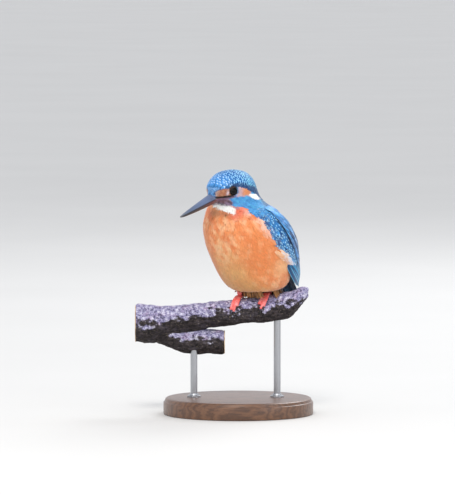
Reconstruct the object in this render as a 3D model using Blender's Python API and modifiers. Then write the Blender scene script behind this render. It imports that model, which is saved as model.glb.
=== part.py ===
"""A common kingfisher at life size, perched on a cut branch that a plain display stand holds.

Metres, +Z up.  The origin is the centre of the stand base's underside.  The branch runs along X.
The bird is drawn in its own frame, with forward at -Y and its left at +X, on the empty "kingfisher",
which stands on the top of the branch and turns the bird to face between -X and -Y.
"""
import math

import bmesh
import bpy
import numpy as np
from mathutils import Matrix, Vector

MM = 0.001
GAP = 0.3                       # clearance between neighbouring pieces, mm
CREASE = 50.0                   # degrees over which an edge stays sharp

# Stand, mm
PERCH_TOP = 85.0                # height of the branch top between the feet
BASE_RADIUS = 54.0
BASE_HEIGHT = 12.0
BASE_EDGE = 2.0
BASE_SEGMENTS = 48
ROD_RADIUS = 2.5
ROD_SEGMENTS = 24
ROD_SINK = 7.0                  # how far a rod goes into the base and into the branch
ROD_X = (-44.0, 16.0)           # each rod's place along the branch, from the feet
BRANCH_X = 12.0                 # the feet, from the base's centre
BRANCH_Y = 2.0

# Branch, mm: (x, y, z, radius) along each limb, from the branch top between the feet
UPPER_LIMB = ((-86.0, 0.0, -20.0, 13.6), (-72.0, 0.0, -20.4, 13.4), (-58.0, 0.0, -17.4, 10.6),
              (-34.0, 0.0, -13.4, 9.4), (-10.0, 0.0, -11.0, 9.2), (8.0, 0.0, -9.2, 9.5),
              (20.0, 0.0, -7.2, 9.8), (28.0, 0.0, -4.6, 8.8), (33.6, 0.0, 0.0, 6.2), (37.6, 0.0, 2.4, 3.2))
LOWER_LIMB = ((-74.0, 2.0, -22.0, 9.5), (-62.0, 3.0, -28.0, 10.0), (-50.0, 3.5, -32.4, 9.2),
              (-36.0, 3.0, -33.0, 9.0), (-22.0, 2.5, -33.4, 8.6))
LIMB_RINGS_PER_STATION = 2
LIMB_SIDES = 18
BARK_LOBES = 0.035              # bark ridges, as a share of the radius

# Body, mm in the bird's frame: one horizontal section a row, from the belly to the crown, as
# (height, centre forward of the feet, half-length forward, half-length back, half-width, front power)
BODY_YAW = -40.0                # degrees about Z from facing -Y
SECTIONS = ((3.4, 0.0, 0.0, 0.0, 0.0, 2.0),
            (4.0, -0.2, 13.0, 20.0, 14.5, 2.0),
            (7.6, -0.6, 19.6, 25.5, 21.0, 2.1),
            (14.0, 0.2, 24.6, 27.0, 24.8, 2.1),
            (21.0, 1.0, 27.8, 27.2, 27.6, 2.1),
            (29.0, 2.8, 30.2, 27.8, 30.0, 2.1),
            (37.0, 5.2, 31.6, 29.2, 31.4, 2.1),
            (45.0, 8.0, 31.6, 29.0, 31.2, 2.1),
            (52.0, 10.8, 30.2, 27.6, 30.0, 2.1),
            (58.0, 13.2, 27.6, 26.6, 28.2, 2.0),
            (63.5, 15.8, 24.2, 24.4, 25.0, 2.0),
            (68.0, 19.0, 22.4, 20.8, 19.8, 1.9),
            (72.5, 22.6, 24.4, 20.2, 17.0, 1.65),
            (76.5, 25.2, 24.0, 20.6, 16.2, 1.6),
            (80.5, 26.6, 22.0, 20.4, 15.8, 1.75),
            (84.5, 26.8, 18.8, 18.8, 14.4, 1.85),
            (88.5, 26.4, 14.2, 14.8, 11.4, 2.0),
            (91.3, 26.0, 8.4, 9.4, 7.0, 2.0),
            (92.6, 25.8, 0.0, 0.0, 0.0, 2.0))
RINGS_PER_SECTION = 2
BODY_SIDES = 36
HEAD_CUT = ((22.0, 68.6), (0.17, 0.985))        # (forward, up) of a point on the cut and of its normal
NECK_CUT = ((15.0, 61.6), (0.11, 0.994))

# Head, mm from the head's centre as (forward, left, up), turned a little past the body
HEAD_CENTRE = (26.4, 0.0, 77.0)
HEAD_TURN = -3.0
EYE_PLACE = (10.23, 10.76, 0.86)
EYE_RADIUS = 2.9
EYE_FACES = (0.28, 0.955, 0.06)                 # the way the left eye faces
LID_OPENING = 2.3                               # radius of the round gap between the lids
LID_REACH = 5.5                                 # the opening's cutter runs this far from the eye's centre
BILL_PITCH = -19.0
BILL_START = (17.5, 0.0, -3.9)                  # inside the feathers, on the line where the bill shuts
# Bill stations: (along, half-width, culmen height, keel depth); the bill shuts along height 0
BILL = ((0.0, 4.4, 4.2, 3.7), (5.0, 4.1, 3.9, 3.5), (12.0, 3.3, 3.3, 3.2), (20.0, 2.6, 2.6, 2.8),
        (28.0, 1.8, 1.8, 2.1), (34.0, 1.15, 1.05, 1.4), (37.0, 0.65, 0.55, 0.8), (38.0, 0.3, 0.25, 0.4))
BILL_ARC = 7                    # points across each half of the bill
BILL_ROUND = 0.85               # power of the rounding of each half of the bill
BILL_LOWER_SHORT = 0.985        # the lower half ends just short of the upper one

# Wings, folded: (angle round the body from the breast, height) down the leading and the back edge
WING_LEADING = ((70.0, 60.0), (68.0, 51.0), (71.0, 41.0), (81.0, 32.0), (102.0, 24.5), (126.0, 18.5),
                (141.0, 13.0))
WING_BACK = ((95.0, 63.5), (124.0, 58.0), (144.0, 50.5), (154.0, 42.0), (156.0, 34.0), (151.0, 25.0),
             (145.0, 16.0))
WING_THICKNESS = (1.6, 2.6, 3.0, 2.8, 2.4, 1.8, 1.0)
WING_EDGE = 0.6
WING_ROUND = 0.6                # power of the wing's rounding between its edges
WING_LIFT = 0.5                 # between the trunk and the wing's inner side
WING_ALONG = 15
WING_ACROSS = 6
# (height, backward stretch)
RUMP_REACH = ((4.0, 1.0), (14.0, 1.34), (22.0, 1.18), (32.0, 1.04), (42.0, 1.0))

# Tail, mm: (forward, up) of its root and tip, and (share of the length, half-width, half-thickness)
TAIL_ROOT = (-19.0, 37.0)
TAIL_TIP = (-43.5, -4.5)
TAIL = ((0.0, 8.0, 7.0), (0.2, 10.0, 6.6), (0.42, 10.4, 4.6), (0.6, 9.4, 2.8), (0.8, 9.6, 1.5),
        (0.94, 9.8, 0.9), (1.0, 8.6, 0.5))
TAIL_SIDES = 16

# Legs, mm from the branch top between the feet
FOOT_X = {"left": 10.2, "right": -11.0}
FOOT_DRIFT = {"left": -6.0, "right": -4.6}      # how far the front toes slant along the branch
TARSUS_RADIUS = 1.8
TARSUS_TOP = 12.0               # height of its hidden upper end
TARSUS_LEAN = -0.6              # how far that end leans back across the branch
FOOT_ROOM = 4.0                 # radius of the hollow under the belly over each foot
TOE_RADIUS = 1.25
CLAW_RADIUS = 0.7
# Toes: (name, start and end degrees round the branch from its top, start and end place towards the outer
# side of the foot, share of the foot's slant)
TOES = (("inner", -8.0, 64.0, -1.4, -2.3, 0.9), ("middle", -12.0, 84.0, 0.1, -0.2, 1.0),
        ("outer", -8.0, 75.0, 1.5, 2.0, 1.0), ("hind", 8.0, -58.0, -0.3, -0.6, -0.8))
TOE_STEPS = 6
CLAW_STEPS = 3
CLAW_START = 3.8                # degrees of clear space between a toe and its claw
CLAW_SPAN = 17.0                # degrees round the branch that a claw takes up
CLAW_SLANT = 0.4                # the claw's slant along the branch, as a share of its toe's
CLAW_LIFT = -0.05               # how much further off the bark the claw's tip lies than its root
TOE_TAPER = 0.28                # the share of its radius that a toe loses to its end
CLAW_TAPER = 0.72               # the share that a claw loses to its tip
CLAW_CURVE = 1.3                # how late along the claw it thins


def material(name, colour, roughness=0.6, metallic=0.0):
    """A plain Principled material."""
    made = bpy.data.materials.new(name)
    made.use_nodes = True
    shader = made.node_tree.nodes["Principled BSDF"]
    shader.inputs["Base Color"].default_value = (*colour, 1.0)
    shader.inputs["Roughness"].default_value = roughness
    shader.inputs["Metallic"].default_value = metallic
    return made


def smooth_rows(rows, per_step):
    """Rows of a table joined by a Catmull-Rom curve, with per_step rows for each of the given ones."""
    rows = np.array(rows, float)
    slopes = np.gradient(rows, axis=0)
    slopes[0] = rows[1] - rows[0]
    slopes[-1] = rows[-1] - rows[-2]
    out = []
    for i in range(len(rows) - 1):
        for k in range(per_step):
            t = k / per_step
            out.append((2*t**3 - 3*t**2 + 1) * rows[i] + (t**3 - 2*t**2 + t) * slopes[i]
                       + (3*t**2 - 2*t**3) * rows[i + 1] + (t**3 - t**2) * slopes[i + 1])
    out.append(rows[-1])
    return np.array(out)


def loft(name, rings, collection, mat, parent=None):
    """A closed object through rings of points in mm, capped by a fan at each end."""
    bm = bmesh.new()
    grid = [[bm.verts.new(Vector(p) * MM) for p in ring] for ring in rings]
    count = len(rings[0])
    for low, high in zip(grid, grid[1:]):
        for i in range(count):
            j = (i + 1) % count
            bm.faces.new((low[i], low[j], high[j], high[i]))
    for ring in (grid[0], grid[-1]):
        middle = bm.verts.new(sum((v.co for v in ring), Vector()) / count)
        for i in range(count):
            bm.faces.new((ring[i], ring[(i + 1) % count], middle))
    bmesh.ops.remove_doubles(bm, verts=bm.verts, dist=0.00002)
    bmesh.ops.recalc_face_normals(bm, faces=bm.faces)
    return mesh_object(name, bm, collection, mat, parent)


def mesh_object(name, bm, collection, mat, parent=None):
    """An object that takes over a bmesh."""
    mesh = bpy.data.meshes.new(name)
    bm.to_mesh(mesh)
    bm.free()
    mesh.shade_smooth()
    mesh.set_sharp_from_angle(angle=math.radians(CREASE))
    made = bpy.data.objects.new(name, mesh)
    made.data.materials.append(mat)
    made.parent = parent
    collection.objects.link(made)
    return made


def make_cutter(obj, cutters):
    """Move an object to the cutters and hide it from the render."""
    for owner in list(obj.users_collection):
        owner.objects.unlink(obj)
    cutters.objects.link(obj)
    obj.hide_render = True
    obj.display_type = "WIRE"
    return obj


def boolean(obj, tool, operation="DIFFERENCE"):
    """Cut an object by another, or join them."""
    step = obj.modifiers.new(operation.lower(), "BOOLEAN")
    step.operation = operation
    step.solver = "EXACT"
    step.object = tool


def grown(obj, name, distance, cutters):
    """A cutter: a copy of an object's mesh pushed out along its normals by a distance in mm."""
    bm = bmesh.new()
    bm.from_mesh(obj.data)
    bm.normal_update()
    moves = [v.normal * distance * MM for v in bm.verts]
    for vert, move in zip(bm.verts, moves):
        vert.co += move
    made = mesh_object(name, bm, cutters, obj.data.materials[0], obj.parent)
    made.location = obj.location
    made.rotation_euler = obj.rotation_euler
    return make_cutter(made, cutters)


def tube(name, points, radii, collection, mat, parent=None):
    """A round tube through points in mm, with a radius at each, made from a curve and closed."""
    curve = bpy.data.curves.new(name, "CURVE")
    curve.dimensions = "3D"
    curve.bevel_depth = MM
    curve.bevel_resolution = 2
    curve.use_fill_caps = True
    spline = curve.splines.new("POLY")
    spline.points.add(len(points) - 1)
    for point, place, radius in zip(spline.points, points, radii):
        point.co = (*(Vector(place) * MM), 1.0)
        point.radius = radius
    source = bpy.data.objects.new(name + "_path", curve)
    bpy.context.scene.collection.objects.link(source)
    bpy.context.view_layer.update()
    mesh = bpy.data.meshes.new_from_object(source.evaluated_get(bpy.context.evaluated_depsgraph_get()))
    bpy.data.objects.remove(source)
    bm = bmesh.new()
    bm.from_mesh(mesh)
    bpy.data.meshes.remove(mesh)
    bmesh.ops.remove_doubles(bm, verts=bm.verts, dist=0.00002)
    bmesh.ops.recalc_face_normals(bm, faces=bm.faces)
    return mesh_object(name, bm, collection, mat, parent)


class Body:
    """The bird's outline as horizontal sections, in the bird's frame in mm."""

    def __init__(self):
        self.rows = smooth_rows(SECTIONS, RINGS_PER_SECTION)

    def section(self, height):
        """The section's numbers at a height."""
        return [np.interp(height, self.rows[:, 0], self.rows[:, i]) for i in range(1, 6)]

    @staticmethod
    def point(row, angle, out=0.0, back_scale=1.0):
        """A point on a section, at an angle from straight ahead towards the left, pushed out by some mm."""
        height, centre, front, back, width, power = row
        cosine = math.cos(angle)
        sine = math.sin(angle)
        if cosine > 0.0:
            bend = 2.0 / power
            ahead = (front + out) * abs(cosine) ** bend
            side = (width + out) * math.copysign(abs(sine) ** bend, sine)
        else:
            ahead = (back * back_scale + out) * cosine
            side = (width + out) * sine
        return (side, -(centre + ahead), height)

    def rings(self):
        """Every ring of the outline, from the belly to the crown."""
        angles = [math.tau * i / BODY_SIDES for i in range(BODY_SIDES)]
        return [[self.point(row, a) for a in angles] for row in self.rows]


def bisected(source, name, cuts, collection, mat, parent):
    """A copy of a closed object, cut by planes: cuts hold ((forward, up), normal, keep_above)."""
    bm = bmesh.new()
    bm.from_mesh(source.data)
    for (ahead, up), (n_ahead, n_up), keep_above in cuts:
        side = 1.0 if keep_above else -1.0
        normal = Vector((0.0, -n_ahead, n_up)).normalized() * side
        place = Vector((0.0, -ahead, up)) * MM + normal * (GAP / 2) * MM
        bmesh.ops.bisect_plane(bm, geom=bm.verts[:] + bm.edges[:] + bm.faces[:], plane_co=place,
                               plane_no=normal, clear_inner=True, dist=0.000001)
        rim = [e for e in bm.edges if e.is_boundary]
        bmesh.ops.edgeloop_fill(bm, edges=rim)
    bmesh.ops.remove_doubles(bm, verts=bm.verts, dist=0.00005)
    bmesh.ops.recalc_face_normals(bm, faces=bm.faces)
    return mesh_object(name, bm, collection, mat, parent)


def wing(side, body, collection, mat, parent):
    """A folded wing: a thin curved shell over the trunk's side, thinning to its edges and tip."""
    sign = 1.0 if side == "left" else -1.0
    lead = smooth_rows(WING_LEADING, 4)
    back = smooth_rows(WING_BACK, 4)
    thick = smooth_rows([(t,) for t in WING_THICKNESS], 4)[:, 0]
    reach_z, reach = zip(*RUMP_REACH)
    rings = []
    places = np.linspace(0, len(lead) - 1, WING_ALONG)
    for place in places:
        start = [np.interp(place, range(len(lead)), lead[:, i]) for i in (0, 1)]
        end = [np.interp(place, range(len(back)), back[:, i]) for i in (0, 1)]
        depth = np.interp(place, range(len(thick)), thick)
        outer = []
        inner = []
        for k in range(WING_ACROSS + 1):
            share = k / WING_ACROSS
            angle = math.radians(start[0] + (end[0] - start[0]) * share)
            height = start[1] + (end[1] - start[1]) * share
            row = [height, *body.section(height)]
            stretch = float(np.interp(height, reach_z, reach))
            bulge = WING_EDGE + (depth - WING_EDGE) * math.sin(math.pi * share) ** WING_ROUND
            for points, out in ((outer, WING_LIFT + bulge), (inner, WING_LIFT)):
                x, y, z = body.point(row, angle, out, stretch)
                points.append((sign * x, y, z))
        rings.append(outer + inner[::-1])
    return loft(f"wing_{side}", rings, collection, mat, parent)


def tail(collection, mat, parent):
    """The tail with its coverts: a flat tapered loft, thick where the coverts lie."""
    root = Vector((0.0, -TAIL_ROOT[0], TAIL_ROOT[1]))
    tip = Vector((0.0, -TAIL_TIP[0], TAIL_TIP[1]))
    along = (tip - root).normalized()
    across = Vector((1.0, 0.0, 0.0))
    normal = across.cross(along)
    rings = []
    for share, width, depth in smooth_rows(TAIL, 2):
        centre = root.lerp(tip, share)
        rings.append([centre + across * (width * math.cos(a)) + normal * (depth * math.sin(a))
                      for a in (math.tau * i / TAIL_SIDES for i in range(TAIL_SIDES))])
    return loft("tail", rings, collection, mat, parent)


def bill_half(name, upper, collection, mat, parent):
    """The upper or the lower half of the bill, in the head's frame, as a loft to its point."""
    rings = []
    for along, width, top, keel in smooth_rows(BILL, 2):
        height = top if upper else -keel
        reach = along if upper else along * BILL_LOWER_SHORT
        seat = GAP / 2 if upper else -GAP / 2
        arc = []
        for k in range(BILL_ARC + 1):
            a = math.pi * k / BILL_ARC
            arc.append((width * math.cos(a), -reach, seat + height * math.sin(a) ** BILL_ROUND))
        rings.append(arc)
    made = loft(name, rings, collection, mat, parent)
    ahead, left, up = BILL_START
    made.location = Vector((left, -ahead, up)) * MM
    made.rotation_euler = (math.radians(-BILL_PITCH), 0.0, 0.0)
    return made


def eye(side, collection, mat, parent):
    """An eyeball set in the side of the head."""
    sign = 1.0 if side == "left" else -1.0
    bm = bmesh.new()
    bmesh.ops.create_uvsphere(bm, u_segments=16, v_segments=10, radius=EYE_RADIUS * MM)
    made = mesh_object(f"eye_{side}", bm, collection, mat, parent)
    ahead, left, up = EYE_PLACE
    made.location = Vector((sign * left, -ahead, up)) * MM
    made.rotation_euler = (0.0, math.radians(90.0), 0.0)
    return made


def lid_opening(side, collection, cutters, mat, parent):
    """A round cutter that opens the lids over an eyeball."""
    sign = 1.0 if side == "left" else -1.0
    ahead, left, up = EYE_PLACE
    centre = Vector((sign * left, -ahead, up))
    way = Vector((sign * EYE_FACES[1], -EYE_FACES[0], EYE_FACES[2]))
    ends = [centre, centre + way * LID_REACH]
    return make_cutter(tube(f"lid_opening_{side}", ends, [LID_OPENING] * 2, collection, mat, parent), cutters)


class Branch:
    """The forked cut branch, in mm from the branch top between the feet."""

    def __init__(self):
        self.upper = smooth_rows(UPPER_LIMB, LIMB_RINGS_PER_STATION)
        self.lower = smooth_rows(LOWER_LIMB, LIMB_RINGS_PER_STATION)

    @staticmethod
    def radius(rows, x, angle):
        """The limb's radius at a place along it and at an angle round it from its top."""
        plain = float(np.interp(x, rows[:, 0], rows[:, 3]))
        lobes = math.sin(3 * angle + 0.05 * x) + 0.7 * math.sin(5 * angle - 0.09 * x + 1.3)
        return plain * (1.0 + BARK_LOBES * lobes)

    def point(self, rows, x, angle, lift=0.0):
        """A point on or over the bark; a positive angle leans to the front, -Y."""
        y = float(np.interp(x, rows[:, 0], rows[:, 1]))
        z = float(np.interp(x, rows[:, 0], rows[:, 2]))
        out = self.radius(rows, x, angle) + lift
        return (x, y - out * math.sin(angle), z + out * math.cos(angle))

    def limb(self, name, rows, collection, mat, parent):
        """One limb as a loft of rings upright to X."""
        angles = [math.tau * i / LIMB_SIDES for i in range(LIMB_SIDES)]
        rings = [[self.point(rows, row[0], a) for a in angles] for row in rows]
        return loft(name, rings, collection, mat, parent)

    def underside(self, x):
        """The lowest height of the bark at a place along the branch, over both limbs."""
        heights = [self.point(self.upper, x, math.pi)[2]]
        if x < LOWER_LIMB[-1][0]:
            heights.append(self.point(self.lower, x, math.pi)[2])
        return min(heights)


def leg(side, branch, collection, cutters, skin, horn, parent):
    """A tarsus, a foot of four joined toes over the bark, and a claw at the end of each toe."""
    x_foot = FOOT_X[side]
    pad = Vector(branch.point(branch.upper, x_foot, 0.0, TOE_RADIUS + GAP))
    start = pad + Vector((0.0, 0.0, TOE_RADIUS + 2 * GAP))
    top = (x_foot, pad.y + TARSUS_LEAN, TARSUS_TOP)
    tarsus = tube(f"tarsus_{side}", [start, top], [TARSUS_RADIUS] * 2, collection, skin, parent)
    hollow = bmesh.new()
    bmesh.ops.create_uvsphere(hollow, u_segments=16, v_segments=10, radius=FOOT_ROOM * MM)
    room = make_cutter(mesh_object(f"foot_room_{side}", hollow, collection, skin, parent), cutters)
    room.location = pad * MM
    foot = None
    outward = 1.0 if side == "left" else -1.0
    for name, first, last, out_a, out_b, slant in TOES:
        shift_a = outward * out_a
        shift_b = outward * out_b + FOOT_DRIFT[side] * slant
        path = []
        radii = []
        for k in range(TOE_STEPS + 1):
            share = k / TOE_STEPS
            angle = math.radians(first + (last - first) * share)
            x = x_foot + shift_a + (shift_b - shift_a) * share
            radius = TOE_RADIUS * (1.0 - TOE_TAPER * share)
            path.append(branch.point(branch.upper, x, angle, radius + GAP))
            radii.append(radius)
        toe = tube(f"toe_{name}_{side}", path, radii, collection, skin, parent)
        if foot is None:
            toe.name = f"foot_{side}"
            foot = toe
        else:
            boolean(foot, make_cutter(toe, cutters), "UNION")
        turn = math.copysign(1.0, last - first)
        slope = CLAW_SLANT * (shift_b - shift_a) / (last - first)
        points = []
        claw_radii = []
        for k in range(CLAW_STEPS + 1):
            share = k / CLAW_STEPS
            swing = (CLAW_START + CLAW_SPAN * share) * turn
            lift = radii[-1] + GAP + CLAW_LIFT * share
            x = x_foot + shift_b + slope * swing
            points.append(branch.point(branch.upper, x, math.radians(last + swing), lift))
            claw_radii.append(CLAW_RADIUS * (1.0 - CLAW_TAPER * share ** CLAW_CURVE))
        tube(f"claw_{name}_{side}", points, claw_radii, collection, horn, parent)
    return tarsus, room


def stand(branch, collection, cutters, wood, metal, perch):
    """The base and the two rods, which sink into sockets in the base and in the branch."""
    profile = bmesh.new()
    corners = [(0.0, 0.0), (BASE_RADIUS, 0.0), (BASE_RADIUS, BASE_HEIGHT), (0.0, BASE_HEIGHT)]
    rim = [profile.verts.new((x * MM, 0.0, z * MM)) for x, z in reversed(corners)]
    for a, b in zip(rim, rim[1:]):
        profile.edges.new((a, b))
    base = mesh_object("stand_base", profile, collection, wood)
    turn = base.modifiers.new("turn", "SCREW")
    turn.steps = BASE_SEGMENTS
    turn.render_steps = BASE_SEGMENTS
    turn.use_merge_vertices = True
    turn.merge_threshold = 0.00001
    edge = base.modifiers.new("edge", "BEVEL")
    edge.width = BASE_EDGE * MM
    edge.segments = 2
    for i, x in enumerate(ROD_X):
        low = BASE_HEIGHT - ROD_SINK
        high = PERCH_TOP + branch.underside(x) + ROD_SINK
        place = Vector((BRANCH_X + x, BRANCH_Y, (low + high) / 2)) * MM
        for grow, name in ((0.0, f"stand_rod_{i + 1}"), (GAP, f"socket_{i + 1}")):
            bm = bmesh.new()
            bmesh.ops.create_cone(bm, cap_ends=True, segments=ROD_SEGMENTS, radius1=(ROD_RADIUS + grow) * MM,
                                  radius2=(ROD_RADIUS + grow) * MM, depth=(high - low + 2 * grow) * MM)
            rod = mesh_object(name, bm, collection, metal)
            rod.location = place
        make_cutter(rod, cutters)
        boolean(base, rod)
        boolean(perch, rod)


def main():
    """Build the whole model."""
    for old in list(bpy.data.objects):
        bpy.data.objects.remove(old)
    parts = bpy.data.collections.new("kingfisher")
    cutters = bpy.data.collections.new("cutters")
    for made in (parts, cutters):
        bpy.context.scene.collection.children.link(made)

    rufous = material("breast_feathers", (0.72, 0.28, 0.09), 0.8)
    blue = material("blue_feathers", (0.03, 0.25, 0.52), 0.5)
    dark_horn = material("bill_horn", (0.04, 0.05, 0.08), 0.35)
    red_horn = material("bill_red", (0.25, 0.04, 0.03), 0.35)
    iris = material("eye_dark", (0.01, 0.008, 0.008), 0.05)
    coral = material("foot_skin", (0.80, 0.10, 0.06), 0.5)
    claw_horn = material("claw_horn", (0.05, 0.03, 0.03), 0.4)
    bark = material("bark", (0.16, 0.13, 0.14), 0.9)
    wood = material("stand_wood", (0.07, 0.04, 0.025), 0.45)
    metal = material("stand_metal", (0.45, 0.42, 0.38), 0.3, 1.0)

    perch_frame = bpy.data.objects.new("perch_frame", None)
    perch_frame.location = Vector((BRANCH_X, BRANCH_Y, PERCH_TOP)) * MM
    bird = bpy.data.objects.new("kingfisher", None)
    bird.parent = perch_frame
    bird.rotation_euler = (0.0, 0.0, math.radians(BODY_YAW))
    head_frame = bpy.data.objects.new("head_frame", None)
    head_frame.parent = bird
    ahead, left, up = HEAD_CENTRE
    head_frame.location = Vector((left, -ahead, up)) * MM
    head_frame.rotation_euler = (0.0, 0.0, math.radians(HEAD_TURN))
    for empty in (perch_frame, bird, head_frame):
        parts.objects.link(empty)

    branch = Branch()
    perch = branch.limb("perch_branch", branch.upper, parts, bark, perch_frame)
    lower = branch.limb("lower_limb", branch.lower, parts, bark, perch_frame)
    boolean(perch, make_cutter(lower, cutters), "UNION")
    stand(branch, parts, cutters, wood, metal, perch)

    body = Body()
    whole = loft("whole", body.rings(), parts, rufous, bird)
    head = bisected(whole, "head", [(*HEAD_CUT, True)], parts, blue, bird)
    bisected(whole, "neck", [(*HEAD_CUT, False), (*NECK_CUT, True)], parts, rufous, bird)
    trunk = bisected(whole, "trunk", [(*NECK_CUT, False)], parts, rufous, bird)
    bpy.data.objects.remove(whole)

    rump = tail(parts, blue, bird)
    boolean(rump, grown(trunk, "trunk_room", GAP, cutters))
    for side in ("left", "right"):
        wing(side, body, parts, blue, bird)
        ball = eye(side, parts, iris, head_frame)
        boolean(head, grown(ball, f"eye_socket_{side}", GAP, cutters))
        boolean(head, lid_opening(side, parts, cutters, blue, head_frame))
        tarsus, foot_room = leg(side, branch, parts, cutters, coral, claw_horn, perch_frame)
        boolean(trunk, foot_room)
        boolean(trunk, grown(tarsus, f"tarsus_room_{side}", GAP, cutters))
    for name, upper, mat in (("bill_upper", True, dark_horn), ("bill_lower", False, red_horn)):
        half = bill_half(name, upper, parts, mat, head_frame)
        boolean(head, grown(half, f"{name}_room", GAP, cutters))


main()
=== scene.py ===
"""A life-size kingfisher on a perch and stand: one skin, laid feathers, bare parts and turned furniture."""

import logging
import math
from dataclasses import dataclass, field
from enum import Enum
from typing import Callable, Mapping, Sequence, Union

import bmesh
import bpy
import numpy as np
from mathutils import Matrix, Vector, noise
from mathutils.bvhtree import BVHTree


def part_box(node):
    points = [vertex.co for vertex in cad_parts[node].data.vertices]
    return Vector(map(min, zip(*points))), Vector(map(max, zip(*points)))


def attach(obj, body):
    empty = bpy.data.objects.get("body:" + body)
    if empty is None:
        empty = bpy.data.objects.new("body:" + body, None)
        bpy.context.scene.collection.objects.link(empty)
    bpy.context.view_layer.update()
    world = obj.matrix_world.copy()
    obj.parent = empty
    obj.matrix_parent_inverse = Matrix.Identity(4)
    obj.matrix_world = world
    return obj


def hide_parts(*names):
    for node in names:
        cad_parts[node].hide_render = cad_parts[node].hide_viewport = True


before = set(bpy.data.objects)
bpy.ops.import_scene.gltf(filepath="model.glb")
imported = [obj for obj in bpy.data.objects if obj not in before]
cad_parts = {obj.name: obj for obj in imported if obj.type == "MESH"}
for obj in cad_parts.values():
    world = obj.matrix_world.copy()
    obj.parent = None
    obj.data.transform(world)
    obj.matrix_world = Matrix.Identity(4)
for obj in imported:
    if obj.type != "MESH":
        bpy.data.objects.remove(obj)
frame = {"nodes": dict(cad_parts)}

LOG = logging.getLogger("kingfisher")
MM = 0.001
WELD = 1e-6
Array = np.ndarray
Colour = tuple[float, float, float]
Spot = tuple[float, float, float]
Line = tuple[tuple[float, float], ...]
Mesh = bmesh.types.BMesh
Material = bpy.types.Material
Nodes = Mapping[str, bpy.types.Object]


class Side(Enum):
    """The bird's two sides; the value is the sign of its leftward axis."""

    LEFT = 1
    RIGHT = -1

    @property
    def word(self) -> str:
        """The side's name in lower case, for the names of its pieces."""
        return self.name.lower()


class Kind(Enum):
    """What a feather is coloured as, which decides the piece and the slot it goes to."""

    RUFOUS = 0
    BLUE = 1
    WHITE = 2


def swatch(red: float, green: float, blue: float) -> Array:
    """Linear colour from the 0 to 255 values of a painter's swatch."""
    share = np.array([red, green, blue], float) / 255
    return np.where(share > 0.04045, ((share + 0.055) / 1.055) ** 2.4, share / 12.92)


def soft(value: Array, low: float, high: float) -> Array:
    """A smooth step from 0 at low to 1 at high."""
    share = np.clip((value - low) / (high - low), 0, 1)
    return share * share * (3 - 2 * share)


def unit(vectors: Array) -> Array:
    """The same directions at length one."""
    return vectors / np.maximum(np.linalg.norm(vectors, axis=-1, keepdims=True), 1e-9)


def mixed(first: Array, second: Array, share: Array) -> Array:
    """First turning into second by a share for each row; either may be one colour for all rows."""
    return first + (second - first) * share[..., None]


def curve(start: Array, bend: Array, tip: Array, share: Array) -> Array:
    """Places at shares along the bent lines from each start, drawn toward bend, to each tip."""
    start, bend, tip = start[:, None], bend[:, None], tip[:, None]
    return start * (1 - share) ** 2 + bend * 2 * share * (1 - share) + tip * share ** 2


def paint(red: float, green: float, blue: float) -> Array:
    """A dataclass field with a swatch as its default."""
    return field(default_factory=lambda: swatch(red, green, blue))


def ripple(points: Array, wavelength: float, seed: int, waves: int = 7) -> Array:
    """A smooth random field over points, between about -1 and 1.

    Args:
        points: Places, one a row.
        wavelength: Mean distance from crest to crest.
        seed: Which field.
        waves: How many plane waves are added.

    Returns:
        One value a point.
    """
    rng = np.random.default_rng(seed)
    heading = unit(rng.normal(size=(waves, 3))) * math.tau / wavelength
    heading *= rng.uniform(0.6, 1.5, (waves, 1))
    return np.sin(points @ heading.T + rng.uniform(0, math.tau, waves)).sum(1) / math.sqrt(waves)


@dataclass(frozen=True)
class Axes:
    """The bird's axes and its head's, in millimetres from the perch top between its feet."""

    yaw: float = math.radians(-40.0)
    head_yaw: float = math.radians(-3.0)
    origin: Spot = (12.0, 2.0, 85.0)
    head_at: Spot = (26.4, 0.0, 77.0)

    def rows(self) -> Array:
        """Forward, left and up as rows of world axes."""
        sine, cosine = math.sin(self.yaw), math.cos(self.yaw)
        return np.array([[sine, -cosine, 0], [cosine, sine, 0], [0, 0, 1]])

    def head_rows(self) -> Array:
        """The head's ahead, left and up as rows of the bird's axes."""
        sine, cosine = math.sin(-self.head_yaw), math.cos(self.head_yaw)
        return np.array([[cosine, -sine, 0], [sine, cosine, 0], [0, 0, 1]])

    def to_bird(self, world: Array) -> Array:
        """World metres to the bird's millimetres."""
        return (np.asarray(world) / MM - self.origin) @ self.rows().T

    def to_world(self, bird: Array) -> Array:
        """The bird's millimetres to world metres."""
        return (np.asarray(bird) @ self.rows() + self.origin) * MM

    def to_head(self, bird: Array) -> Array:
        """The bird's millimetres to the head's ahead, left and up."""
        return (np.asarray(bird) - self.head_at) @ self.head_rows().T

    def from_head(self, head: Array) -> Array:
        """The head's ahead, left and up to the bird's millimetres."""
        return np.asarray(head) @ self.head_rows() + self.head_at


AXES = Axes()


# ---- shader maths


Value = Union["Socket", float, Sequence[float], Array]


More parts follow.
